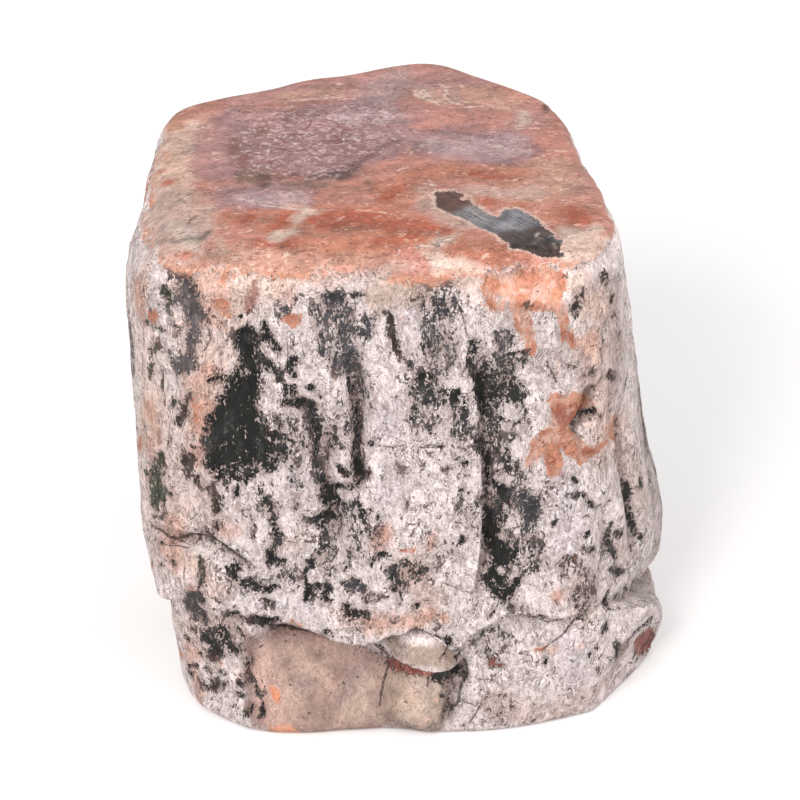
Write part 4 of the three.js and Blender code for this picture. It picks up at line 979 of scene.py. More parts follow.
SIDE_RUST: Marks = (
    (-20, 74.6, 1.2, -16, 73.9, 1.6, -13, 73.8, 1.6, -8, 74.6, 1.4, -4, 74.6, 1.3), (13.5, 72, 1.5,
    17, 72, 2.5, 20.5, 71.8, 2.4), (17.2, 69.8, 1.5, 20.6, 69.4, 1.9), (17, 67.6, 1, 17.8, 65, 0.8,
    18.4, 62.2, 0.4), (15.6, 69.2, 1, 16.3, 67.3, 0.7, 16.9, 65, 0.45, 16.9, 64.3, 0.3),
    (12.3, 71.5, 0.5, 12.6, 69.5, 0.6, 14, 68.9, 0.7), (21.5, 70, 1, 21.9, 68, 0.8, 22.3, 66.3, 0.8,
    22.5, 65, 0.6, 22.8, 63.8, 0.9, 23.6, 62.8, 0.8, 24.3, 62, 0.4), (21.3, 54.9, 0.8,
    22.5, 53.9, 1.8, 24.2, 53.7, 1.6, 25.8, 53.3, 1.6, 26.8, 52.4, 1.2, 25.5, 51.6, 1.2,
    22.3, 51.9, 1.6), (22.2, 51.3, 1.5, 21.5, 49.3, 1.8, 19.5, 47.6, 1.3, 18.8, 46.2, 0.8,
    18.3, 45.2, 0.5), (21.3, 47.2, 1.2, 21.5, 45, 1.1, 21.9, 43.6, 1), (23.3, 48.5, 1.6,
    24.5, 46.6, 1.3, 25.7, 45.2, 1.2, 27.5, 44.9, 0.9, 29.5, 44.9, 0.5, 31, 45, 0.3), (33, 46, 1.5,
    35.5, 43.2, 0.8), (-31, 66.4, 0.5, -31.6, 65.1, 0.9, -32.2, 64.4, 0.4), (-22.3, 69, 1,
    -21.3, 68, 0.6), (-22.5, 72.5, 0.7), (-25.2, 55, 0.5, -25, 53.5, 0.4, -25, 52, 0.25),
    (-24.3, 54, 0.3), (-38.5, 41.5, 0.8, -37, 43.5, 0.9), (-38.5, 22.5, 0.8, -36.5, 23.8, 0.4),
    (-38, 6.5, 1.2, -35.5, 8.5, 0.8), (-12.8, 67, 0.8, -14, 67.2, 0.5), (-18.9, 8, 0.3,
    -17.8, 6.5, 0.4, -17.5, 5.7, 0.3), (-18, 0.9, 1, -15.5, 0.8, 0.8), (0.9, 67.5, 0.3),
    (1, 33.5, 0.15, 2.7, 33.4, 0.15), (-13.5, 21.3, 0.5, -12.2, 20.9, 0.3), (-17, 19, 0.25,
    -14, 18.5, 0.25), (21.3, 14.6, 0.5),
)
SIDE_DEEP_RUST: Marks = (
    (-19, 71.6, 0.55, -18.7, 70.2, 0.75, -19, 68.6, 0.5), (22, 64.5, 0.5, 23, 63.4, 0.6),
    (21.8, 53, 0.9, 22.6, 51.6, 1.2, 24.2, 51.4, 0.9), (25.6, 45.6, 0.5, 27.2, 45.1, 0.4),
)
SIDE_FISSURES: Marks = (
    (-35, 31.3, 0.15, -33.5, 31.4, 0.2, -32, 31, 0.2, -30.5, 31.2, 0.2, -29, 31.9, 0.22,
    -27.5, 32.5, 0.2, -26, 32.8, 0.2, -24.5, 32.9, 0.22, -23.5, 32.4, 0.2, -22.6, 31.5, 0.2,
    -21.3, 30.7, 0.2, -20.2, 30, 0.15, -19.3, 29.8, 0.08), (-33, 29.3, 0.1, -31.5, 29.6, 0.12,
    -30, 30.2, 0.12, -28, 30.6, 0.08), (-23.5, 65.6, 0.12, -23.3, 64.2, 0.15, -23.9, 62.4, 0.1),
    (-24.6, 60.4, 0.14, -24.6, 59.4, 0.1), (-28.7, 65.6, 0.1, -28, 65.2, 0.12, -27.2, 65, 0.12,
    -26.6, 65.4, 0.08), (8.8, 69.5, 0.1, 9.1, 67.5, 0.12, 9.4, 65.8, 0.12, 9.9, 64.8, 0.08),
    (-2, 49, 0.08, 0.5, 48.8, 0.1, 1.5, 49, 0.06), (3.5, 48.9, 0.08, 6.5, 48.9, 0.1),
    (6.5, 27.5, 0.06, 8, 26.9, 0.1, 10.5, 25.8, 0.1, 11.5, 25.5, 0.06), (4.2, 24.9, 0.08,
    5.2, 24.8, 0.08), (20.3, 60, 0.15, 20.8, 59, 0.2, 21.6, 57.2, 0.15), (24.8, 49.8, 0.12,
    25.9, 48, 0.12), (2.4, 20.2, 0.1, 3.3, 20, 0.14, 5.3, 19.3, 0.16, 7, 18.9, 0.18, 8, 18.4, 0.15),
    (8, 17.4, 0.14, 9.5, 16.8, 0.1), (7.7, 16.5, 0.12, 7.2, 15.5, 0.14, 6.5, 14.6, 0.1),
    (-0.6, 12, 0.1, -1.2, 10, 0.13, -1.7, 8.2, 0.12, -2.1, 6, 0.12, -2.2, 5, 0.08), (5.3, 10.3, 0.1,
    5.1, 8.8, 0.08), (8, 9.5, 0.1, 8, 8.7, 0.08), (10.9, 12.5, 0.15, 11.2, 11.6, 0.2, 11.5, 10, 0.2,
    10.6, 8.2, 0.2, 10.1, 6.5, 0.18, 9.5, 5, 0.16, 8.8, 4, 0.12), (10.4, 6.2, 0.1, 11.4, 5.4, 0.12,
    13, 4.8, 0.1), (13.7, 6, 0.1, 13.3, 4.8, 0.12, 12.4, 3, 0.12, 11.8, 1.8, 0.1), (14.5, 6.3, 0.1,
    13.6, 5.8, 0.1), (13, 9.3, 0.1, 14, 9.1, 0.1), (19.8, 20.8, 0.1, 21, 20.2, 0.13,
    22.5, 19.3, 0.13, 24, 18.9, 0.1), (20.5, 19.6, 0.08, 22, 19, 0.12, 24.5, 18.8, 0.1),
    (27.2, 18.9, 0.2, 26, 18.6, 0.25, 25.3, 17.8, 0.22, 24.5, 16.7, 0.2, 23.5, 16, 0.18,
    22.3, 15.2, 0.15, 21.5, 14.2, 0.1), (38.5, 17, 0.12, 39.5, 17.9, 0.15, 41, 18.3, 0.15,
    42.5, 18.2, 0.1), (34, 21.3, 0.1, 38, 20.8, 0.12, 44, 20, 0.1), (46.2, 36, 0.2, 47.4, 27, 0.25,
    49, 20, 0.3, 49.8, 13, 0.2), (-18, 18.3, 0.1, -15, 17.4, 0.14, -12, 16.7, 0.12, -8, 15.6, 0.1,
    -4, 15, 0.06), (70, 40, 0.15, 76, 38.5, 0.2, 82, 39.5, 0.15, 87, 38.6, 0.1), (-66, 30, 0.12,
    -74, 28.8, 0.2, -82, 30.4, 0.18, -90, 29.6, 0.1),
)
SIDE_CALM: Marks = (
    (-19, 12, 3, -15, 10, 7, -9, 9, 7, -4, 8, 5), (-19, 4, 3, -12, 2, 3.5, -4, 1.5, 3), (3.5, 6, 4,
    4.5, 15.8, 3), (21, 71, 2.5, 16, 72, 2.5),
)


@dataclass
class WeatheredSide:
    """What the side wears: bare stone, stains, washes, cracks and smooth faces.

    A mark's discs are s, z and radius, on the side's chart.
    """

    bare: tuple[Bare, ...] = SIDE_BARE
    # Round the back, bare stone, rust and peach are grown from grain over a level.
    back_way: float = 48.0
    back_rise: float = 6.0
    back_fill: float = 0.8
    back_peach: float = 0.6
    back_grown: tuple[tuple[tuple[Grain, ...], float], ...] = (
        ((Grain(1.5, 4.5, 13, 61), Grain(0.9, 1.7, 4, 62)), 1.0),
        ((Grain(2.2, 7, 9, 63),), 1.5),
        ((Grain(1.6, 11, 16, 64), Grain(0.6, 3, 5, 65)), 0.5),
    )
    islands: Marks = SIDE_ISLANDS
    washes: tuple[Wash, ...] = SIDE_WASHES
    rust: Marks = SIDE_RUST
    deep_rust: Marks = SIDE_DEEP_RUST
    fissures: Marks = SIDE_FISSURES
    calm: Marks = SIDE_CALM


# ---------------------------------------------------------------- the cut top


TOP_WASHES: tuple[Wash, ...] = (
    Wash(Tone.PEACH, 2.0, 1.5, 1.0, ((-30, -8, 4, -29, 0, 4, -28, 8, 4),)),
    Wash(Tone.SAND, 2.0, 1.5, 1.0, ((-30, -12, 5, -28, -18, 6, -30, -25, 6),)),
    Wash(Tone.ORANGE, 1.2, 1.0, 0.7, ((-29.3, 9, 1.5, -28.5, 11.5, 1.2), (-30.3, 1, 1))),
    # The mauve heart, with its rose-brown rim.
    Wash(Tone.MAUVE, 1.6, 1.4, 0.95, ((-20, -10, 3.5, -14, -10, 4), (-20, 2, 6, -12, 5, 9.5,
        -5, 8, 8, -3, 14, 5, -10, 14, 4), (-20, 10, 5, -22, -2, 4), (3, 6, 3, 8, 4, 5, 14, 3, 5,
        16, 6, 3), (-9, 0, 6, -2, 4, 4))),
    Wash(Tone.ROSE, 1.6, 1.2, 0.85, ((-20, 17, 3, -12, 19.5, 3, -4, 21, 3.5, 3, 23, 3.5,
        10, 21, 3.5), (4, 13, 2.5, 8, 12, 3, 14, 13, 3, 18, 12, 3), (-18, 13, 2.5, -17.3, 9, 1.8),
        (-24, 8, 2, -24, 2, 2, -24, -4, 2))),
    Wash(Tone.CURL, 2.0, 1.8, 0.5, ((5, 4.5, 1.6, 10, 3.4, 2.6, 15, 3, 2.4), (-6, 12, 2, -1, 12, 2),
        (-18, -11, 1.6, -13, -11, 1.6))),
    # Grey near the back of the cut top: the stone's own tone there.
    Wash(Tone.GREY_AND_PAINTED_SHADE, 1.8, 1.0, 0.5, ((0, 22, 3, -2, 18, 2.5, 1, 25, 1.5),)),
    Wash(Tone.SALMON, 1.2, 1.0, 0.75, ((7, 12, 2.2, 11, 12, 1.4, 14, 12.3, 1.8), (21, 6, 2,
        21.5, 3.5, 1.8), (4, 9, 1), (-12, 16.3, 0.5, -6, 17.5, 0.5), (-20, 14.6, 0.5,
        -15, 15.3, 0.5))),
    Wash(Tone.BLUSH, 1.5, 1.2, 0.8, ((21, -3, 3, 22, -8, 3), (12, 18.5, 3, 15, 16.5, 2.5),
        (-14, 18, 1.4, -8, 19.5, 1.2), (-20, -27, 4, -14, -28, 4), (-9, -25, 3, -4, -26, 3),
        (18, -9, 3, 14, -10, 2))),
    Wash(Tone.BROWN, 1.0, 0.8, 0.85, ((-20.9, 5, 0.5, -20.7, 2.5, 0.9, -20, 0.5, 1.3,
        -19.7, -1.5, 0.9),)),
    Wash(Tone.OLIVE_BROWN, 0.9, 0.7, 0.8, ((-18.3, -5, 2.2), (-17.4, 8, 0.9), (-13.5, -7.5, 1.1,
        -11, -7, 0.9, -9, -7.6, 0.8))),
    Wash(Tone.DARK_BROWN, 0.8, 0.6, 0.78, ((-16.2, -5.2, 1.2, -15, -5.3, 0.6, -12.5, -4.8, 0.5,
        -10, -5, 0.4, -7.5, -5, 0.6), (-16.5, -7.2, 0.8), (-20.6, -4, 0.4, -20, -6.2, 0.3),
        (-6.8, -5.2, 1, -6, -4.2, 1.1, -5.2, -2.8, 0.8, -4.3, -1.3, 0.6, -3.2, 0.5, 0.45,
        -2.2, 2.2, 0.45, -1.2, 3.5, 0.4, 0.3, 5, 0.3), (-3, -6.8, 0.3, -2.6, -8.4, 0.25))),
    # Iron stain in front of the heart.
    Wash(Tone.ORANGE, 1.5, 1.4, 0.75, ((2, -4, 2, 8, -3.5, 1.6, 14, -4, 2, 17, -4, 1.5),
        (-0.5, -8, 2.2, 0, -12, 2.4, 1.5, -6, 2), (-14, -17, 4, -6, -18, 5, 3, -19, 4, -10, -21, 4,
        -3, -22, 3.5), (-22, -16, 2), (20, -15, 1.5, 22.5, -14.5, 2, 25, -14, 1.6,
        23.5, -16.5, 1.5), (8, -22.5, 2.5, 11, -24, 2.5, 14, -26, 2.5, 13.5, -29, 2),
        (12.5, -11.5, 1.4, 14, -12, 1, 16.8, -12.8, 0.9))),
    Wash(Tone.TERRACOTTA, 1.0, 1.2, 0.95, ((-10.5, -16.5, 1.6, -7, -16.3, 2.4, -3.5, -16, 2.2,
        0, -17.5, 2, 3, -18, 1.8, 6, -19, 1.5), (-17.5, -15.3, 1.2, -19.3, -17, 1),
        (-15, -18.5, 0.9, -13.8, -17.3, 1, -13.3, -14.8, 0.7), (-17, -22.5, 0.6, -15, -22.8, 0.6,
        -12.5, -22.6, 0.6), (-2, -22, 0.6, 0.5, -21.6, 0.7, 2, -21.2, 0.8, 3, -20.3, 0.8),
        (-29.5, -6.5, 0.8), (-30.3, -3, 0.4), (-26.5, -25.3, 0.9), (1, -8, 1, -0.5, -10.5, 0.9),
        (14, -4.5, 1, 9.5, -4, 0.8), (23.5, -14.5, 1.2, 22.5, -15.8, 0.8, 24.5, -17, 0.7),
        (12.3, -11.6, 0.8), (16.5, -13, 0.5))),
    Wash(Tone.SAND, 1.0, 0.8, 0.7, ((4.5, -9, 0.9, 4.3, -12, 1.2, 5, -14, 1, 7, -16.5, 1.3,
        9, -18.3, 0.9), (9.5, -8.5, 1.2, 12, -9, 1.2, 15, -9.5, 1.2, 18, -9.5, 2), (1.5, -28, 1.4,
        -1, -29, 1.2), (-12, -13.5, 1, -13.5, -12.5, 0.8), (-24, -14, 1.5, -25, -20, 1.4))),
    Wash(Tone.CREAM, 1.0, 1.3, 0.7, ((-14.5, -20.8, 0.6, -13, -20.3, 0.5, -12.3, -18, 0.4,
        -11.8, -16, 0.5, -10.8, -14.7, 0.4, -8.7, -14.1, 0.25), (-22, -28.5, 0.6, -20.5, -27.5, 0.6,
        -19.3, -25.8, 0.4), (-21.9, -22.5, 0.3, -21.5, -24.5, 0.3), (22.5, -20, 1.5, 24, -23, 2.5,
        23, -27, 2.5), (26, -18.5, 1), (24.5, -20, 0.8), (26, -22, 1.2), (5.5, -26, 1.5, 7, -28, 2,
        10, -29, 1.5), (5.5, -23.5, 0.8, 8, -20.5, 0.6), (17.7, 13, 0.3, 17.5, 9.8, 0.3),
        (-27, -18.5, 1.2, -25, -24, 1.2), (15.5, -20.2, 0.5))),
    Wash(Tone.SAND, 0.8, 0.5, 0.6, ((4, 20.5, 1.4, 4.5, 18, 1.4, 6.8, 16, 1), (7.5, 20, 1,
        8.5, 16.6, 1))),
    Wash(Tone.OLIVE, 0.35, 0.2, 0.75, ((-28.1, -21.3, 0.25, -27.5, -22.2, 0.3, -26.5, -21.8, 0.2),
        (-25.5, -21.2, 0.5, -24.3, -21.6, 0.6, -23.8, -21, 0.5, -23.5, -20.2, 0.25,
        -23, -19.2, 0.15), (-27.1, -11.6, 0.3), (-29.2, -18.8, 0.2), (-31.7, -10, 0.3))),
    Wash(Tone.DARK_BROWN, 0.5, 0.2, 0.9, ((-31.7, 5, 0.3, -31.4, 7, 0.6, -31.2, 8.8, 0.4),
        (20.6, 15.3, 0.4, 20.6, 13.6, 0.35))),
)
TOP_VEINS: Marks = (
    (3.2, 20, 0.2, 2.9, 19, 0.22, 3.5, 17.8, 0.25, 4.5, 17, 0.25, 5.8, 16.2, 0.28, 6.3, 15.3, 0.2),
    (6.5, 21.5, 0.15, 7.2, 20.5, 0.2, 7.3, 19, 0.2, 7, 17.5, 0.22, 8, 16, 0.25, 9.5, 15.5, 0.2),
    (4.2, 18.2, 0.35, 5, 18.3, 0.3), (3.8, 19.5, 0.3, 4.4, 19.6, 0.25), (10, 14.8, 0.08,
    13, 15.2, 0.1, 15, 14.4, 0.1, 16, 14.2, 0.08), (16.5, 8.5, 0.1, 19.5, 8.8, 0.12),
    (20.2, 2.2, 0.1, 23, 2.2, 0.14), (4.5, -5.5, 0.08, 5.5, -7.5, 0.12), (-14, 16.6, 0.1,
    -8, 17.6, 0.12, -6, 17.4, 0.1), (-17, -12.6, 0.1, -13, -13.6, 0.14, -10, -13.9, 0.12,
    -6.5, -13.8, 0.1), (-4.8, -13.9, 0.12, -1.5, -14.5, 0.14, 0.5, -15.5, 0.1), (-19.6, -20, 0.12,
    -17.4, -19.2, 0.1), (2, -23.8, 0.12, 5, -23, 0.16, 7.5, -21.2, 0.14), (11, -27, 0.12,
    12, -25, 0.14),
)
TOP_CRACKS: Marks = (
    (-26, -17.4, 0.12, -25.5, -16.3, 0.18, -24.9, -15.3, 0.12), (-12, 8.2, 0.12, -11.2, 9, 0.18,
    -10.8, 11, 0.12), (-13.2, 13.2, 0.1, -12.2, 12.2, 0.14, -11.8, 10.8, 0.1), (-10, 4.8, 0.12,
    -8, 5.2, 0.2, -6.9, 4.8, 0.16, -6.7, 7.5, 0.16, -6.5, 8.4, 0.16, -4.5, 8.3, 0.1),
    (-9, 11.2, 0.1, -7.6, 10.4, 0.14, -7, 9, 0.1), (-9.8, 14.2, 0.1, -8.6, 12.8, 0.12),
    (-3.4, 12, 0.1, -2.8, 10.4, 0.12), (-15.4, 3.2, 0.1, -13.6, 2, 0.12, -12, 2.4, 0.1),
)
TOP_HEART: Marks = (
    (-14, 8, 6, -7, 7, 7, -3, 12, 4.5), (-17, 0, 4, -10, -1, 5), (-18, 5, 3),
)
TOP_LENS_EYE: Marks = (
    (9.1, -10.9, 0.5),
)
TOP_LENS_WASHES: tuple[Wash, ...] = (
    Wash(Tone.DARK_BROWN, 1.2, 0.9, 1.0, ((7, -11.4, 3.2),)),
    Wash(Tone.SMOKE, 1.4, 0.8, 0.6, ((10.5, -14.5, 1, 11.5, -16.5, 1),)),
    Wash(Tone.STEEL, 1.2, 0.8, 0.7, ((15.5, -16.2, 1.4, 14.3, -18, 1.2),)),
    Wash(Tone.SOOT_BROWN, 0.8, 1.2, 0.95, ((14.5, -21.4, 1.5, 16.5, -20.8, 1.9, 19, -19.8, 1.5),
        (17, -23, 2.8, 19.5, -24.5, 2.6))),
    Wash(Tone.BLACK, 0.4, 0.5, 0.9, ((19.4, -22.6, 0.7, 19.8, -21.3, 0.5), (15.4, -23.2, 0.7),
        (17.3, -21.6, 0.5, 18, -23.8, 0.4))),
    Wash(Tone.CREAM, 0.2, 0.2, 0.8, ((18.2, -20.3, 0.12, 18.6, -21.4, 0.06), (20, -20.6, 0.14),
        (20.3, -25.2, 0.14), (17.6, -22.6, 0.06, 17.9, -21.9, 0.05), (20.5, -23.4, 0.1,
        20.2, -22.6, 0.05))),
)


@dataclass
class CutTop:
    """What the cut end shows, on its chart (x, y): stained stone and one grey lens.

    The washes lie in order, each over the last.
    """

    washes: tuple[Wash, ...] = TOP_WASHES
    veins: Marks = TOP_VEINS
    cracks: Marks = TOP_CRACKS
    heart: Marks = TOP_HEART
    lens: Knots = (
        (5.5, -9), (5.5, -13), (6.5, -14), (8, -15.3), (9.5, -16.5), (10.5, -18), (12, -19.2),
        (13, -20), (14, -21.8), (14.8, -22.8), (14.8, -24), (16.2, -24), (17.5, -25), (19, -26.1),
        (21.6, -26.2), (21.7, -25.5), (20.9, -24.5), (21.2, -23.5), (21.5, -21.6), (20.5, -21.5),
        (20.3, -20), (19.5, -19), (19, -17.5), (18, -15.8), (17.2, -14.8), (16, -13.7),
        (14.5, -13.7), (14, -14.2), (13.9, -15), (13.3, -15.7), (12.2, -15), (11.3, -13.5),
        (10.2, -12), (9.8, -10.3), (8, -8.9),
    )
    lens_eye: Marks = TOP_LENS_EYE
    lens_washes: tuple[Wash, ...] = TOP_LENS_WASHES


# ---------------------------------------------------------------- lines on a chart


def thread_field(threads: Marks, a: Array, b: Array, reach: float = 0.6) -> tuple[Array, Array]:
    """Signed distance to the nearest thin line, and the line's half width there.

    Beside a line the distance is + on one side and - on the other, so it stays exact
    between two points of the mesh. The half width falls below zero past a line's end
    and away from it, which closes the line off.

    A thread is a mark whose radii are half widths; reach is how far from the line
    the half width starts to fall.
    """
    best = np.full(len(a), 9.0)
    signed = np.full(len(a), 9.0)
    width = np.full(len(a), -1.0)
    for thread in map(discs_of, threads):
        last = len(thread) - 2
        ends = np.array(thread)
        low, high = ends.min(axis=0) - 2.5, ends.max(axis=0) + 2.5
        near = np.flatnonzero((a > low[0]) & (a < high[0]) & (b > low[1]) & (b < high[1]))
        pa, pb = a[near], b[near]
        for i, ((a0, b0, r0), (a1, b1, r1)) in enumerate(zip(thread[:-1], thread[1:])):
            da, db = a1 - a0, b1 - b0
            size = math.hypot(da, db)
            u = ((pa - a0) * da + (pb - b0) * db) / size**2
            held = np.clip(u, 0, 1)
            distance = np.hypot(pa - a0 - held * da, pb - b0 - held * db)
            side = ((pa - a0) * db - (pb - b0) * da) / size
            past = size * np.maximum(0, np.maximum(-u * (i == 0), (u - 1) * (i == last)))
            beside = np.where(past > 0, side, np.where(side < 0, -distance, distance))
            half = r0 + (r1 - r0) * held - past - np.maximum(distance - reach, 0)
            closer = distance < best[near]
            chosen = near[closer]
            best[chosen] = distance[closer]
            signed[chosen] = beside[closer]
            width[chosen] = half[closer]
    return np.clip(signed, -1.5, 1.5), np.clip(width, -1, 1)


# ---------------------------------------------------------------- the stone


@dataclass
class Stone:
    """The one piece: the fine surface, its relief, what it wears and its map."""

    form: BlockForm = field(default_factory=BlockForm)
    side: WeatheredSide = field(default_factory=WeatheredSide)
    top: CutTop = field(default_factory=CutTop)
    name: str = "weathered_stone"
    fibres: tuple[Grain, ...] = (
        Grain(0.2, 2.6, 14, 11), Grain(0.16, 1.3, 6, 12), Grain(0.1, 0.9, 1.5, 13)
    )
    ragged: tuple[Grain, ...] = (Grain(0.35, 1.6, 3.2, 21), Grain(0.22, 0.9, 1.7, 22))
    edge_chips: Grain = Grain(1.3, 2.6, 2.2, 31)
    side_seed: int = 100
    top_seed: int = 200
    lens_seed: int = 300
    least_chip: float = 0.05
    chips_from: float = 70.0
    chips_rise: float = 4.0
    inward_bias: float = 0.12
    calmed: float = 0.75
    calm_soft: float = 1.5
    core_soft: float = 0.8
    core_lead: float = 1.2
    island_slope: float = 1.5
    heart_soft: float = 3.0
    end_depth: float = 0.7
    end_from: float = 62.0
    lens_ragged: float = 0.12
    eye_slope: float = 2.0
    still_foot: float = 0.3
    foot_rise: float = 2.0
    bare_recess: float = 0.42
    recess_soft: float = 0.8
    lens_recess: float = 0.04
    line_depth: float = 0.4
    line_reach: float = 0.45
    thin_margin: float = 0.55
    rim_calm: float = 0.75
    rim_calm_from: float = 69.5
    rim_calm_rise: float = 2.5
    top_facing: float = 0.45
    top_facing_rise: float = 0.4
    top_from: float = 60.0
    top_rise: float = 6.0
    sight_slope: float = 1.6
    hollow_reach: int = 5
    map_width: float = 176.0
    strip_height: float = 86.0
    map_gap: float = 32.0
    map_middle: float = 34.0
    map_lift: float = 78.0

    def lay_out(self) -> None:
        """Builds the grid and finds every vertex's place on the two charts."""
        self.surface = FineSurface(self.form)
        self.points, self.quads = self.surface.build()
        self.middle = self.surface.plain_middle()
        self.normals = vertex_normals(self.points, self.quads)
        x, y, z = self.points.T
        ways = self.form.way_of(np.degrees(np.arctan2(x, -y)))
        columns = self.surface.column_ways()
        ways[: self.surface.side_count] = np.tile(columns, self.surface.rows)
        self.ways = self.form.wrap_way(ways)
        facing = ease((self.normals[:, 2] - self.top_facing) / self.top_facing_rise)
        self.cut = facing * ease((z - self.top_from) / self.top_rise)
        self.on_side = Canvas(self.points, self.ways, z)
        self.on_top = Canvas(self.points, x, y - self.sight_slope * (self.form.height - z))

    def hollows(self) -> Array:
        """How far each place of the side lies behind its surroundings, in millimetres.

        The distance from the axis is averaged over a window of the grid with running
        sums, and the real distance is taken from it.
        """
        rows, columns = self.surface.rows, self.surface.columns
        grid = np.hypot(*self.points[: self.surface.side_count, :2].T).reshape(rows, columns)
        reach = self.hollow_reach
        wide = np.pad(grid, ((0, 0), (reach, reach)), mode="wrap")
        wide = np.pad(wide, ((reach, reach), (0, 0)), mode="edge")
        sums = np.pad(wide.cumsum(axis=0).cumsum(axis=1), ((1, 0), (1, 0)))
        span = 2 * reach + 1
        total = sums[span:, span:] - sums[:-span, span:]
        total = total - sums[span:, :-span] + sums[:-span, :-span]
        depths = np.zeros(len(self.points))
        depths[: self.surface.side_count] = (total / span**2 - grid).ravel()
        return depths

    def dress(self) -> None:
        """Works out the margins and colours that the finish reads."""
        s, z = self.on_side.a, self.on_side.b
        count = len(self.points)
        bare = np.full(count, -FAR)
        core = np.tile(Tone.COAL.linear(), (count, 1))
        for patch in self.side.bare:
            margin = marks_margin(patch.marks, s, z, self.thin_margin)
            share = ease(margin / self.core_soft + self.core_lead)[:, None]
            core += (patch.tone.linear() - core) * share
            bare = np.maximum(bare, np.minimum(margin, patch.fill))
        bare = np.minimum(bare, -self.island_slope * marks_margin(self.side.islands, s, z))
        rust = marks_margin(self.side.rust, s, z)
        back = ease((np.abs(s) - self.side.back_way) / self.side.back_rise)
        front = FAR * (1 - back)
        grown = [
            sum(g.at(self.points) for g in grains) - level
            for grains, level in self.side.back_grown
        ]
        bare = np.maximum(bare, np.minimum(grown[0], self.side.back_fill) - front)
        rust = np.maximum(rust, grown[1] - front)
        peach = (self.side.back_peach * ease(grown[2]) * back)[:, None]
        bare = np.clip(bare + sum(g.at(self.points) for g in self.ragged), -FAR, FAR)

        rind = np.tile(Tone.CRUST.linear(), (count, 1))
        rough = np.float64(self.cut < 0.99)
        for i, wash in enumerate(self.side.washes):
            rind = self.on_side.paint(rind, wash, rough, self.side_seed + 2 * i)
        rind += (Tone.PEACH.linear() - rind) * peach
        end = np.tile(Tone.SALMON.linear(), (count, 1))
        high = np.float64(z > self.end_from)
        for i, wash in enumerate(self.top.washes):
            end = self.on_top.paint(end, wash, high, self.top_seed + 2 * i)
        end *= self.end_depth

        x, y = self.on_top.a, self.on_top.b
        ragged = self.lens_ragged * Canvas.rough(self.points, 0.8, 0.8, 51)
        lens = outline_margin(self.top.lens, x, y) + ragged
        lens = np.minimum(lens, -self.eye_slope * marks_margin(self.top.lens_eye, x, y))
        glass = np.tile(Tone.PEWTER.linear(), (count, 1))
        for i, wash in enumerate(self.top.lens_washes):
            glass = self.on_top.paint(glass, wash, self.cut, self.lens_seed + 2 * i)
        core += (glass - core) * ease(self.cut * 2)[:, None]

        calm = ease(marks_margin(self.side.calm, s, z) / self.calm_soft + 0.5)
        rim = self.rim_calm * ease((z - self.rim_calm_from) / self.rim_calm_rise)
        calm = np.maximum(calm, rim) * (1 - self.cut)
        line_side, line_width = thread_field(self.side.fissures, s, z)
        crack_side, crack_width = thread_field(self.top.cracks, x, y)
        on_end = self.cut > 0.5
        self.colours = {"rind": rind, "core": core, "end": end}
        self.values = {
            "bare": bare,
            "rust": rust,
            "deep_rust": marks_margin(self.side.deep_rust, s, z),
            "cut": self.cut,
            "calm": calm,
            "hollow": np.clip(self.hollows(), -1, 1.5),
            "heart": ease(marks_margin(self.top.heart, x, y) / self.heart_soft + 0.5) * self.cut,
            "lens": np.clip(lens, -FAR, FAR) * self.cut - FAR * (1 - self.cut),
            "line_side": np.where(on_end, crack_side, line_side),
            "line_width": np.where(on_end, crack_width, line_width),
        }
        vein_side, vein_width = thread_field(self.top.veins, x, y)
        self.values["vein_side"] = vein_side
        self.values["vein_width"] = vein_width - 2 * (1 - self.cut)

    def carve(self) -> None:
        """Moves the points along their normals by the fibres, recesses and fissures."""
        values = self.values
        z = self.points[:, 2]
        fibres = sum(g.at(self.points) for g in self.fibres) * (1 - self.calmed * values["calm"])
        recess = self.bare_recess * ease((values["bare"] + 0.1) / self.recess_soft)
        groove = self.line_depth * bell(values["line_side"] / self.line_reach)
        groove = groove * (values["line_width"] > 0)
        side = fibres - self.inward_bias - recess - groove
        brim = ease((z - self.chips_from) / self.chips_rise)
        edge = 4 * self.cut * (1 - self.cut) + brim * (1 - self.cut)
        chips = np.maximum(self.edge_chips.at(self.points) - self.least_chip, 0)
        chips = chips * np.minimum(edge, 1)
        lens = self.lens_recess * self.cut * (values["lens"] > 0)
        rooted = ease((z - self.still_foot) / self.foot_rise)
        move = side * (1 - self.cut) * rooted - lens - chips
        self.points = self.points + self.normals * move[:, None]
        low, high = (np.array(corner) / MM + self.middle for corner in cad_box)
        self.points = np.clip(self.points, low, high)

    def unfold(self) -> Array:
        """Places of every face corner on the piece's map, in one unit square.

        The side is two strips, one over the other, by way round and by the mean
        length up the rows. The cut top and the base lie beside them as in plan.
        """
        surface = self.surface
        side = self.points[: surface.side_count].reshape(surface.rows, surface.columns, 3)
        rises = np.linalg.norm(np.diff(side, axis=0), axis=2).mean(axis=1)
        heights = np.concatenate([[0], np.cumsum(rises)])
        ways = np.append(surface.column_ways(), self.surface.plan_corners[0] + self.form.way_round)
        ways = ways - ways[0]
        half = surface.columns // 2
        column = np.tile(np.arange(surface.columns), surface.rows - 1)
        row = np.repeat(np.arange(surface.rows - 1), surface.columns)
        across = np.stack([column, column + 1, column + 1, column], -1)
        up = np.stack([row, row, row + 1, row + 1], -1)
        second = (column >= half)[:, None]
        u = ways[across] - np.where(second, ways[half], 0)
        v = heights[up] + np.where(second, self.strip_height, 0)
        strips = np.stack([u, v], -1).reshape(-1, 2)
        beside = np.array([ways[half] + self.map_gap, self.map_middle])
        ends = self.points[self.quads[len(column):].ravel(), :2]
        ends = ends @ np.array([[0, 1], [-1, 0]]) + beside
        base = self.points[np.arange(surface.columns)[::-1], :2] @ np.array([[0, 1], [1, 0]])
        base = base + beside + (0, self.map_lift)
        return (np.concatenate([strips, ends, base]) + 1) / self.map_width

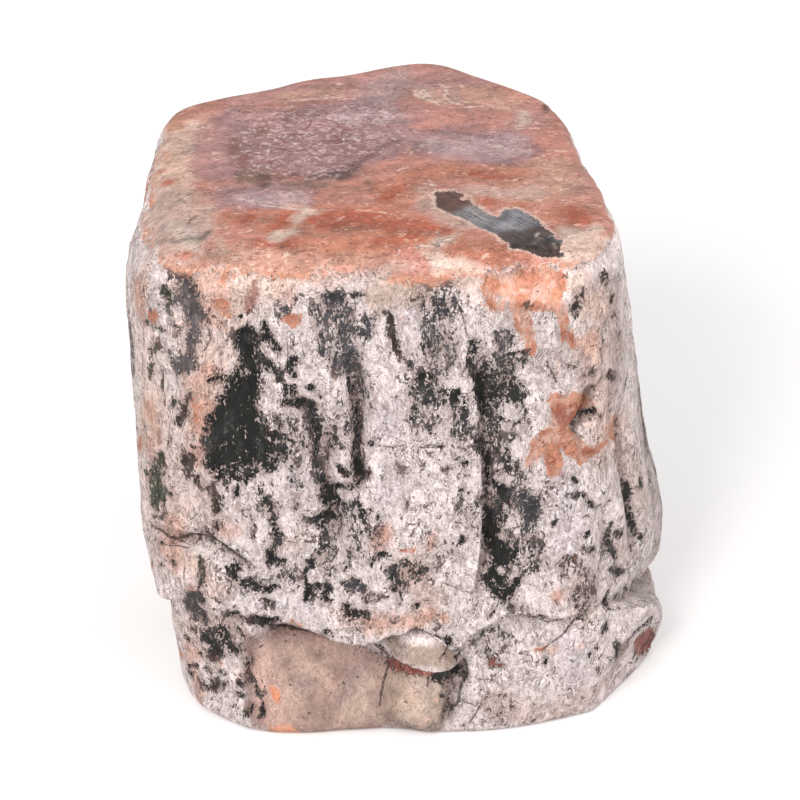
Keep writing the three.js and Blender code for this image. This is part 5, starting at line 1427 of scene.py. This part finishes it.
    def make(self, material: bpy.types.Material) -> bpy.types.Object:
        """The finished surface as one piece that replaces the block's plain solid."""
        self.lay_out()
        self.dress()
        self.carve()
        mesh = bpy.data.meshes.new(self.name)
        mesh.vertices.add(len(self.points))
        mesh.vertices.foreach_set("co", ((self.points - self.middle) * MM).ravel())
        base = np.arange(self.surface.columns)[::-1]
        corners = np.concatenate([self.quads.ravel(), base]).astype(np.int32)
        starts = np.append(np.arange(len(self.quads)) * 4, self.quads.size).astype(np.int32)
        mesh.loops.add(len(corners))
        mesh.loops.foreach_set("vertex_index", corners)
        mesh.polygons.add(len(starts))
        mesh.polygons.foreach_set("loop_start", starts)
        mesh.polygons.foreach_set("use_smooth", np.append(np.ones(len(self.quads), bool), False))
        mesh.update(calc_edges=True)
        mesh.uv_layers.new(name="OFBake").uv.foreach_set("vector", self.unfold().ravel())
        for name, values in self.values.items():
            mesh.attributes.new(name, "FLOAT", "POINT").data.foreach_set("value", values)
        for name, colours in self.colours.items():
            rgba = np.concatenate([colours, np.ones((len(colours), 1))], axis=1)
            layer = mesh.attributes.new(name, "FLOAT_COLOR", "POINT")
            layer.data.foreach_set("color", rgba.ravel())
        mesh.materials.append(material)
        piece = bpy.data.objects.new(self.name, mesh)
        bpy.context.scene.collection.objects.link(piece)
        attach(piece, "root")
        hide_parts("stone")
        return piece


# ---------------------------------------------------------------- the finish


def sum_of(operation: str, swapped: bool = False) -> Callable[["Signal", object], "Signal"]:
    """A method that writes one sum of two values into the node tree."""

    def method(first: "Signal", second: object) -> "Signal":
        return first.bench.math(operation, *((second, first) if swapped else (first, second)))

    return method


@dataclass(frozen=True, eq=False)
class Signal:
    """A node's output, which is written into a formula as if it were a number."""

    bench: "Bench"
    socket: bpy.types.NodeSocket

    __add__, __mul__ = sum_of("ADD"), sum_of("MULTIPLY")
    __sub__, __rsub__ = sum_of("SUBTRACT"), sum_of("SUBTRACT", True)
    __truediv__, __rtruediv__ = sum_of("DIVIDE"), sum_of("DIVIDE", True)
    larger, smaller = sum_of("MAXIMUM"), sum_of("MINIMUM")

    def size(self) -> "Signal":
        """Itself without its sign."""
        return self.bench.math("ABSOLUTE", self)

    def line(self, slope: float, start: object) -> "Signal":
        """A straight line of it: slope times itself plus start."""
        return self.bench.math("MULTIPLY_ADD", self, slope, start)

    def step(self, low: float, high: float) -> "Signal":
        """Soft 0 to 1 switch between two values."""
        inputs = {"Value": self, "From Min": low, "From Max": high}
        return self.bench.add("ShaderNodeMapRange", inputs, interpolation_type="SMOOTHSTEP")

    def under(self, cover: object, share: object) -> "Signal":
        """This colour with another laid over it by a share."""
        inputs = {0: share, 6: self, 7: cover}
        return self.bench.add("ShaderNodeMix", inputs, 2, data_type="RGBA")

    def shaded(self, amount: "Signal") -> "Signal":
        """This colour made lighter or darker: itself times one plus the amount."""
        inputs = {0: self, "Scale": amount + 1.0}
        return self.bench.add("ShaderNodeVectorMath", inputs, operation="SCALE")


@dataclass(frozen=True)
class Bench:
    """Adds nodes to one tree and joins them up."""

    tree: bpy.types.NodeTree

    def add(
        self, kind: str, inputs: dict | None = None, output: int | str = 0, **settings: object
    ) -> Signal:
        """A new node's output, from settings and from inputs.

        Args:
            kind: the type of node.
            inputs: for each input a plain value, a tone or another node's output.
            output: which of the node's outputs is wanted.
            settings: the node's own properties.

        Returns:
            That output.
        """
        node = self.tree.nodes.new(kind)
        for key, value in settings.items():
            setattr(node, key, value)
        for key, value in (inputs or {}).items():
            if isinstance(value, Signal):
                self.tree.links.new(value.socket, node.inputs[key])
            else:
                plain = (*value.linear(), 1) if isinstance(value, Tone) else value
                node.inputs[key].default_value = plain
        return Signal(self, node.outputs[output])

    def math(self, operation: str, *values: object) -> Signal:
        """Result of one sum."""
        return self.add("ShaderNodeMath", dict(enumerate(values)), operation=operation)

    def between(self, share: Signal, first: object, second: object) -> Signal:
        """One number turned into another by a share."""
        return self.add("ShaderNodeMix", {0: share, 2: first, 3: second}, data_type="FLOAT")

    def value(self, name: str, output: str = "Fac") -> Signal:
        """A number, or with the output "Color" a colour, kept on the mesh."""
        return self.add("ShaderNodeAttribute", output=output, attribute_name=name)

    def noise(self, place: Signal, size: object, **settings: object) -> Signal:
        """Noise of a size in millimetres, from 0 to 1."""
        return self.add("ShaderNodeTexNoise", {"Vector": place, "Scale": 1.0 / size, **settings})

    def use(self, group: bpy.types.NodeTree, **inputs: object) -> Signal:
        """Output of a group placed with its own values."""
        return self.add("ShaderNodeGroup", inputs, node_tree=group)


def effect(name: str, inputs: dict[str, str], formula: Callable[..., Signal]) -> bpy.types.NodeTree:
    """A shader node group whose one output is a formula of its inputs.

    The inputs are given by name and kind of socket; the formula takes the bench and
    the inputs in order.
    """
    group = bpy.data.node_groups.new(name, "ShaderNodeTree")
    for key, kind in inputs.items():
        group.interface.new_socket(key, in_out="INPUT", socket_type=f"NodeSocket{kind}")
    group.interface.new_socket("Result", in_out="OUTPUT", socket_type="NodeSocketFloat")
    bench = Bench(group)
    given = group.nodes.new("NodeGroupInput").outputs
    result = formula(bench, *(Signal(bench, given[key]) for key in inputs))
    group.links.new(result.socket, group.nodes.new("NodeGroupOutput").inputs[0])
    return group


class Effects:
    """The node groups that the finish places again and again."""

    def __init__(self) -> None:
        """Builds each group once."""
        place = {"Place": "Vector", "Size": "Float"}
        self.grain = effect("stone_grain", {**place, "Detail": "Float"}, self.grain_height)
        self.curl = effect("curled_grain", place, self.curl_height)
        sockets = dict.fromkeys(("Margin", "Rough", "Soft"), "Float")
        self.edge = effect("ragged_edge", sockets, self.inside)
        sockets = dict.fromkeys(("Side", "Half", "Soft"), "Float")
        self.thread = effect("thin_line", sockets, self.on_line)
        self.specks = effect("specks", {**place, "Share": "Float"}, self.speck)

    @staticmethod
    def grain_height(bench: Bench, place: Signal, size: Signal, detail: Signal) -> Signal:
        """Plain noise, from about -1 to 1."""
        return bench.noise(place, size, Detail=detail).line(4.0, -2.0)

    @staticmethod
    def curl_height(bench: Bench, place: Signal, size: Signal) -> Signal:
        """Curled, rough noise, from about -1 to 1."""
        return bench.noise(place, size, Detail=4.0, Roughness=0.62, Distortion=1.1).line(4.6, -2.3)

    @staticmethod
    def inside(bench: Bench, margin: Signal, rough: Signal, soft: Signal) -> Signal:
        """Inside of a margin whose edge is moved in and out by a roughness."""
        return ((margin + rough) / soft).step(-1.0, 1.0)

    @staticmethod
    def on_line(bench: Bench, side: Signal, half: Signal, soft: Signal) -> Signal:
        """A thin line from the signed distance to it and its half width."""
        return ((half - side.size()) / soft).step(-1.0, 1.0)

    @staticmethod
    def speck(bench: Bench, place: Signal, size: Signal, share: Signal) -> Signal:
        """Irregular specks that cover about the given share of a surface."""
        noise = bench.noise(place, size, Detail=2.0, Roughness=0.6, Distortion=1.2)
        return ((noise - share.line(-0.3, 0.7)) / 0.03).step(-1.0, 1.0)


@dataclass(frozen=True)
class SilicifiedWood:
    """Chalky broken rind over black-green stone, iron stains, and a satin cut end."""

    name: str = "silicified_wood"
    rind_roughness: float = 0.86
    core_roughness: float = 0.6
    end_roughness: float = 0.42
    lens_roughness: float = 0.3
    specular: float = 0.28
    # Umber, laid as painted shade in the rind's valleys, hollows and broken edges.
    painted_shade: Tone = Tone.UMBER
    pit: Tone = Tone.SOOT_BROWN
    wisp: Tone = Tone.UMBER_BROWN
    streak: Tone = Tone.SMOKE
    stain_light: Tone = Tone.APRICOT
    stain: Tone = Tone.ORANGE
    stain_deep: Tone = Tone.BRICK
    vein: Tone = Tone.CREAM
    crack: Tone = Tone.OXBLOOD
    curl_light: Tone = Tone.CURL
    curl_dark: Tone = Tone.OXBLOOD
    crack_height: float = 0.35
    end_crack_height: float = 0.07
    lens_turn: float = -0.87
    end_turn: float = 0.1

    # How much longer than wide the grain is drawn, and its sizes in millimetres.
    drawn_up: float = 1.7
    threaded: float = 6.0
    streaked: float = 16.0
    end_drawn: float = 1.8
    heart_drawn: float = 1.2
    lens_drawn: float = 14.0
    wide_size: float = 7.0
    mottle_size: float = 2.8
    curl_size: float = 1.5
    knot_size: float = 0.95
    pit_size: float = 0.8
    dash_size: float = 0.7
    fleck_size: float = 0.7
    crumb_size: float = 0.6
    fine_size: float = 0.5
    pore_size: float = 0.4
    fibre_size: float = 0.4
    prick_size: float = 0.3
    streak_size: float = 0.28
    brushed_size: float = 0.22
    dust_size: float = 0.22
    end_sheen: float = 0.25

    def material(self) -> bpy.types.Material:
        """Builds the finish; a grain's place, size and height are in millimetres."""
        material = bpy.data.materials.new(self.name)
        material.use_nodes = True
        tree = material.node_tree
        tree.nodes.clear()
        bench, effects = Bench(tree), Effects()
        value, use = bench.value, bench.use
        object_place = bench.add("ShaderNodeTexCoord", output="Object")

        def stretched(along: float, turn: float = 0.0, across: float = 1.0) -> Signal:
            """Places drawn out up the wood, or along a turned line in plan."""
            scale = (MM * across, MM, MM * along)
            inputs = {"Vector": object_place, "Scale": scale, "Rotation": (0, 0, turn)}
            return bench.add("ShaderNodeMapping", inputs, vector_type="TEXTURE")

        def grain(place: Signal, size: float, detail: float) -> Signal:
            """One plain noise."""
            return use(effects.grain, Place=place, Size=size, Detail=detail)

        even, along, thread = stretched(1), stretched(self.drawn_up), stretched(self.threaded)
        curl = use(effects.curl, Place=along, Size=self.curl_size)
        fine, coarse = use(effects.curl, Place=along, Size=self.fine_size), grain(along, 1.6, 1)
        fibre = grain(thread, self.fibre_size, 3)
        mottle, dust = grain(even, self.mottle_size, 2), grain(even, self.dust_size, 1)
        wide = grain(even, self.wide_size, 1)
        wisp = 1.0 - fine.size().step(0.01, 0.1)
        tear = 1.0 - (curl + dust * 0.04).size().step(0.015, 0.07)
        torn = tear * (mottle + coarse * 0.5).step(-0.5, 0.4)
        bare_margin = value("bare") + (fine * 0.75 + curl * 0.55)
        bare = use(effects.edge, Margin=bare_margin, Rough=0.0, Soft=0.16)
        calm, hollow = value("calm"), value("hollow")
        cut = (value("cut") + (wide * 0.35 + (curl * 0.2 + fine * 0.12))).step(0.3, 0.7)
        busy = 1.0 - calm * 0.75

        # Rind: mottled, fibrous and flecked, with painted shade in its valleys and hollows and
        # along the edge where it breaks off.
        # The tint lightens the crust's ridges and darkens its valleys with the curl, fine and fibre
        # noises that also shape its bump: painted highlight and shade, with mottled tone.
        tint = (fibre * 0.1 + curl * 0.18) * busy + (fine * 0.2 + mottle * 0.12)
        tint = tint + calm * (mottle * 0.12 + coarse * 0.16)
        crust = value("rind", "Color").shaded(tint + dust * 0.1)
        # Painted shade in the valleys of the relief noises.
        valley = (fine * 0.7 + curl).step(0.0, -0.9) * busy
        crust = crust.under(self.painted_shade, valley * 0.55)
        near_bare = bare_margin.step(-1.5, 0.0)
        deep = hollow.step(0.02, 0.7)
        patchy = (mottle + coarse * 0.8).step(0.1, 1.0)
        share = patchy.line(0.33, near_bare.line(0.35, deep.line(0.3, 0.04))) * busy
        speck = use(effects.specks, Place=along, Size=self.pit_size, Share=share)
        prick = use(effects.specks, Place=even, Size=self.prick_size, Share=share * 0.5)
        spots = speck.larger(prick * 0.8)
        # Painted shade in the side's hollows and along the crust's edge where it breaks off.
        hollow_and_edge_shade = (deep * 0.4).larger(bare_margin.step(-0.5, 0.05) * 0.35)
        crust = crust.under(self.painted_shade, hollow_and_edge_shade * busy)
        crust = crust.under(self.pit, spots * 0.8)
        loose = near_bare.line(0.6, patchy.line(0.5, 0.05))
        crust = crust.under(self.wisp, wisp * loose * busy * 0.9)
        crust = crust.under(self.pit, torn * busy * 0.9)

        # Bare stone: dark, streaked along the wood, with crumbs of rind left on it.
        streak = grain(stretched(self.streaked), self.streak_size, 3)
        core = value("core", "Color").shaded(streak * 0.45 + fine * 0.5)
        core = core.shaded(coarse * 0.5 + mottle * 0.3)
        bright = (streak + (coarse * 0.4 + fine)).step(0.9, 1.7)
        bright = (bright * 0.55).larger(wisp * 0.4 * coarse.step(0.0, 0.8))
        core = core.under(self.streak, bright)
        crumb_share = bare_margin.step(0.2, 1.4).line(-0.26, 0.3)
        crumbs = use(effects.specks, Place=along, Size=self.crumb_size, Share=crumb_share)
        stone = crust.under(core, bare * (1.0 - crumbs * 0.85))

        # Iron stains.
        wander = curl * 0.6 + fine * 0.4
        stained = use(effects.edge, Margin=value("rust"), Rough=wander, Soft=0.22)
        warm = (mottle + curl * 0.7).step(-0.7, 0.8)
        orange = bench.add(
            "ShaderNodeMix", {0: warm, 6: self.stain_light, 7: self.stain}, 2, data_type="RGBA"
        )
        orange = orange.shaded(fine * 0.2 + curl * 0.12).shaded(value("cut") * -0.3)
        orange = orange.under(self.stain_deep, spots * 0.6)
        thin = (curl + mottle).step(-0.9, 0.3).line(0.3, 0.65)
        stone = stone.under(orange, stained * thin * (1.0 - bare * 0.85))
        burnt = use(effects.edge, Margin=value("deep_rust"), Rough=wander, Soft=0.4)
        stone = stone.under(self.stain_deep, burnt * 0.7)

        # Cut end: clouded, drawn out sideways, curled at its heart and veined.
        drawn = stretched(1, self.end_turn, self.end_drawn)
        cloud = bench.add("ShaderNodeTexNoise", {
            "Vector": drawn, "Scale": 0.3, "Detail": 6.0, "Roughness": 0.72, "Distortion": 0.3})
        dash = use(effects.curl, Place=drawn, Size=self.dash_size)
        tint = dust * 0.07 + (dash * 0.22 + fine * 0.15)
        end = value("end", "Color").shaded(cloud.line(2.1, -1.05) + tint)
        heart = value("heart")
        knotted = stretched(1, self.end_turn, self.heart_drawn)
        knot = use(effects.curl, Place=knotted, Size=self.knot_size)
        end = end.under(self.curl_light, knot.step(0.0, 0.7) * heart * 0.6)
        end = end.under(self.curl_dark, knot.step(-0.25, -0.8) * heart * 0.85)
        brink = 1.0 - (value("cut") + curl * 0.15).step(0.55, 1.0)
        brink_tone = value("rind", "Color").under(self.stain_light, (wide + curl).step(-0.4, 0.5))
        end = end.under(brink_tone.shaded(fine.line(0.2, -0.24)), brink * 0.7)
        end = end.under(self.curl_dark, wisp * (mottle + coarse).step(-0.2, 0.9) * 0.35)
        flecks = use(effects.specks, Place=drawn, Size=self.fleck_size, Share=0.3)
        end = end.under(self.vein, flecks * (coarse - mottle).step(-0.3, 0.6) * 0.35)
        pores = use(effects.specks, Place=drawn, Size=self.pore_size, Share=0.2)
        end = end.under(self.curl_dark, pores * 0.5)
        vein = use(effects.thread, Side=value("vein_side") + fine * 0.12,
                   Half=dash.line(0.4, value("vein_width")), Soft=0.15)
        end = end.under(self.vein, vein * 0.4)

        # The grey lens in the cut end, and its pale rim.
        lens_margin = value("lens")
        lens = use(effects.edge, Margin=lens_margin, Rough=fine * 0.35 + dust * 0.1, Soft=0.12)
        rim = (lens_margin + (fine * 0.3 + knot * 0.45)).step(-0.85, -0.05)
        end = end.under(self.vein, rim * 0.45)
        brushed = grain(stretched(1, self.lens_turn, self.lens_drawn), self.brushed_size, 3)
        glass = value("core", "Color").shaded(brushed * 0.6 + (fine * 0.4 + coarse * 0.35))
        colour = stone.under(end.under(glass, lens), cut)

        # Cracks.
        half = dust.line(0.12, value("line_width") * 0.7).smaller(0.32)
        line = use(effects.thread, Side=value("line_side") + fine * 0.12, Half=half, Soft=0.1)
        ink = bench.add("ShaderNodeMix", {0: cut, 6: self.pit, 7: self.crack}, 2, data_type="RGBA")
        colour = colour.under(ink, line * 0.85)

        side_roughness = bench.between(bare, self.rind_roughness, self.core_roughness)
        clouded = cloud.line(self.end_sheen, self.end_roughness - self.end_sheen / 2)
        end_roughness = bench.between(lens, clouded, self.lens_roughness)
        roughness = bench.between(cut, side_roughness, end_roughness)

        crust_height = fibre * 0.14 + (fine * 0.26 + dust * 0.05) + (curl * 0.42 - torn * 0.25)
        crust_height = crust_height * busy - spots * 0.22
        side_height = bench.between(bare, crust_height, (streak + fine).line(0.12, -0.7))
        end_height = cloud * 0.06 + dash * 0.025 + knot * heart * 0.07 - pores * 0.08
        end_height = bench.between(lens, end_height, brushed * 0.008)
        height = bench.between(cut, side_height, end_height)
        height = height - line * bench.between(cut, self.crack_height, self.end_crack_height)
        bump = bench.add("ShaderNodeBump", {"Height": height, "Distance": MM, "Strength": 1.0})

        shader = bench.add("ShaderNodeBsdfPrincipled", {
            "Base Color": colour, "Roughness": roughness, "Normal": bump,
            "Specular IOR Level": self.specular})
        surface = tree.nodes.new("ShaderNodeOutputMaterial").inputs["Surface"]
        tree.links.new(shader.socket, surface)
        return material


# ---------------------------------------------------------------- the studio


@dataclass(frozen=True)
class SoftLamp:
    """A large soft lamp: its place and its aim in metres, its side and its power."""

    name: str
    place: Place
    aim: Place
    side: float
    power: float
    tint: Colour = (1.0, 1.0, 1.0)


@dataclass
class Studio:
    """Plain pale floor, plain soft light, and the camera."""

    elevation: float = 32.0
    distance: float = 480.0
    target: Place = (0.96, 0.0, 37.63)
    focal_length: float = 157.7
    sensor: float = 36.0
    floor_side: float = 6.0
    floor_tone: Colour = (0.93, 0.92, 0.92)
    floor_roughness: float = 0.9
    floor_specular: float = 0.1
    air_strength: float = 0.8
    air_tint: Colour = (1.0, 0.995, 0.99)
    lamps: tuple[SoftLamp, ...] = (
        SoftLamp("key", (-0.34, -0.72, 0.62), (0, 0, 0.03), 0.36, 7.3, (1.0, 0.985, 0.97)),
        SoftLamp("fill", (0.6, -0.4, 0.35), (0, 0, 0.03), 0.5, 2.9),
    )

    def stand(self) -> None:
        """The floor."""
        half = self.floor_side / 2
        mesh = bpy.data.meshes.new("floor")
        corners = [(half * x, half * y, 0) for x, y in ((-1, -1), (1, -1), (1, 1), (-1, 1))]
        mesh.from_pydata(corners, [], [(0, 1, 2, 3)])
        material = bpy.data.materials.new("pale_floor")
        material.use_nodes = True
        shader = material.node_tree.nodes["Principled BSDF"]
        shader.inputs["Base Color"].default_value = (*self.floor_tone, 1)
        shader.inputs["Roughness"].default_value = self.floor_roughness
        shader.inputs["Specular IOR Level"].default_value = self.floor_specular
        mesh.materials.append(material)
        floor = bpy.data.objects.new("floor", mesh)
        bpy.context.scene.collection.objects.link(floor)

    def light(self) -> None:
        """The air's even light and the lamps."""
        scene = bpy.context.scene
        world = bpy.data.worlds.new("studio_air")
        world.use_nodes = True
        air = world.node_tree.nodes["Background"]
        air.inputs["Color"].default_value = (*self.air_tint, 1)
        air.inputs["Strength"].default_value = self.air_strength
        scene.world = world
        scene.view_settings.view_transform = "Standard"
        for lamp in self.lamps:
            data = bpy.data.lights.new(lamp.name, "AREA")
            data.size = lamp.side
            data.energy = lamp.power
            data.color = lamp.tint
            bulb = bpy.data.objects.new(lamp.name, data)
            bulb.location = lamp.place
            ray = Vector(lamp.aim) - Vector(lamp.place)
            bulb.rotation_euler = ray.to_track_quat("-Z", "Y").to_euler()
            scene.collection.objects.link(bulb)

    def look(self, middle: Array) -> None:
        """The camera, aimed at a point given from the block's own axis."""
        rise = math.radians(self.elevation)
        aim = np.array(self.target) - middle
        data = bpy.data.cameras.new("camera")
        data.lens = self.focal_length
        data.sensor_width = self.sensor
        camera = bpy.data.objects.new("camera", data)
        away = np.array([0, -math.cos(rise), math.sin(rise)])
        camera.location = (aim + self.distance * away) * MM
        camera.rotation_euler = (math.pi / 2 - rise, 0, 0)
        bpy.context.scene.collection.objects.link(camera)
        bpy.context.scene.camera = camera


def main() -> None:
    """Builds the stone and the studio round it."""
    logging.basicConfig(level=logging.INFO, format="%(name)s: %(message)s")
    stone = Stone()
    piece = stone.make(SilicifiedWood().material())
    mesh = piece.data
    log.info("%s: %d vertices, %d faces", piece.name, len(mesh.vertices), len(mesh.polygons))
    studio = Studio()
    studio.stand()
    studio.light()
    studio.look(stone.middle)
    log.info("studio: floor, %d lamps and camera", len(studio.lamps))


if __name__ == "__main__":
    main()
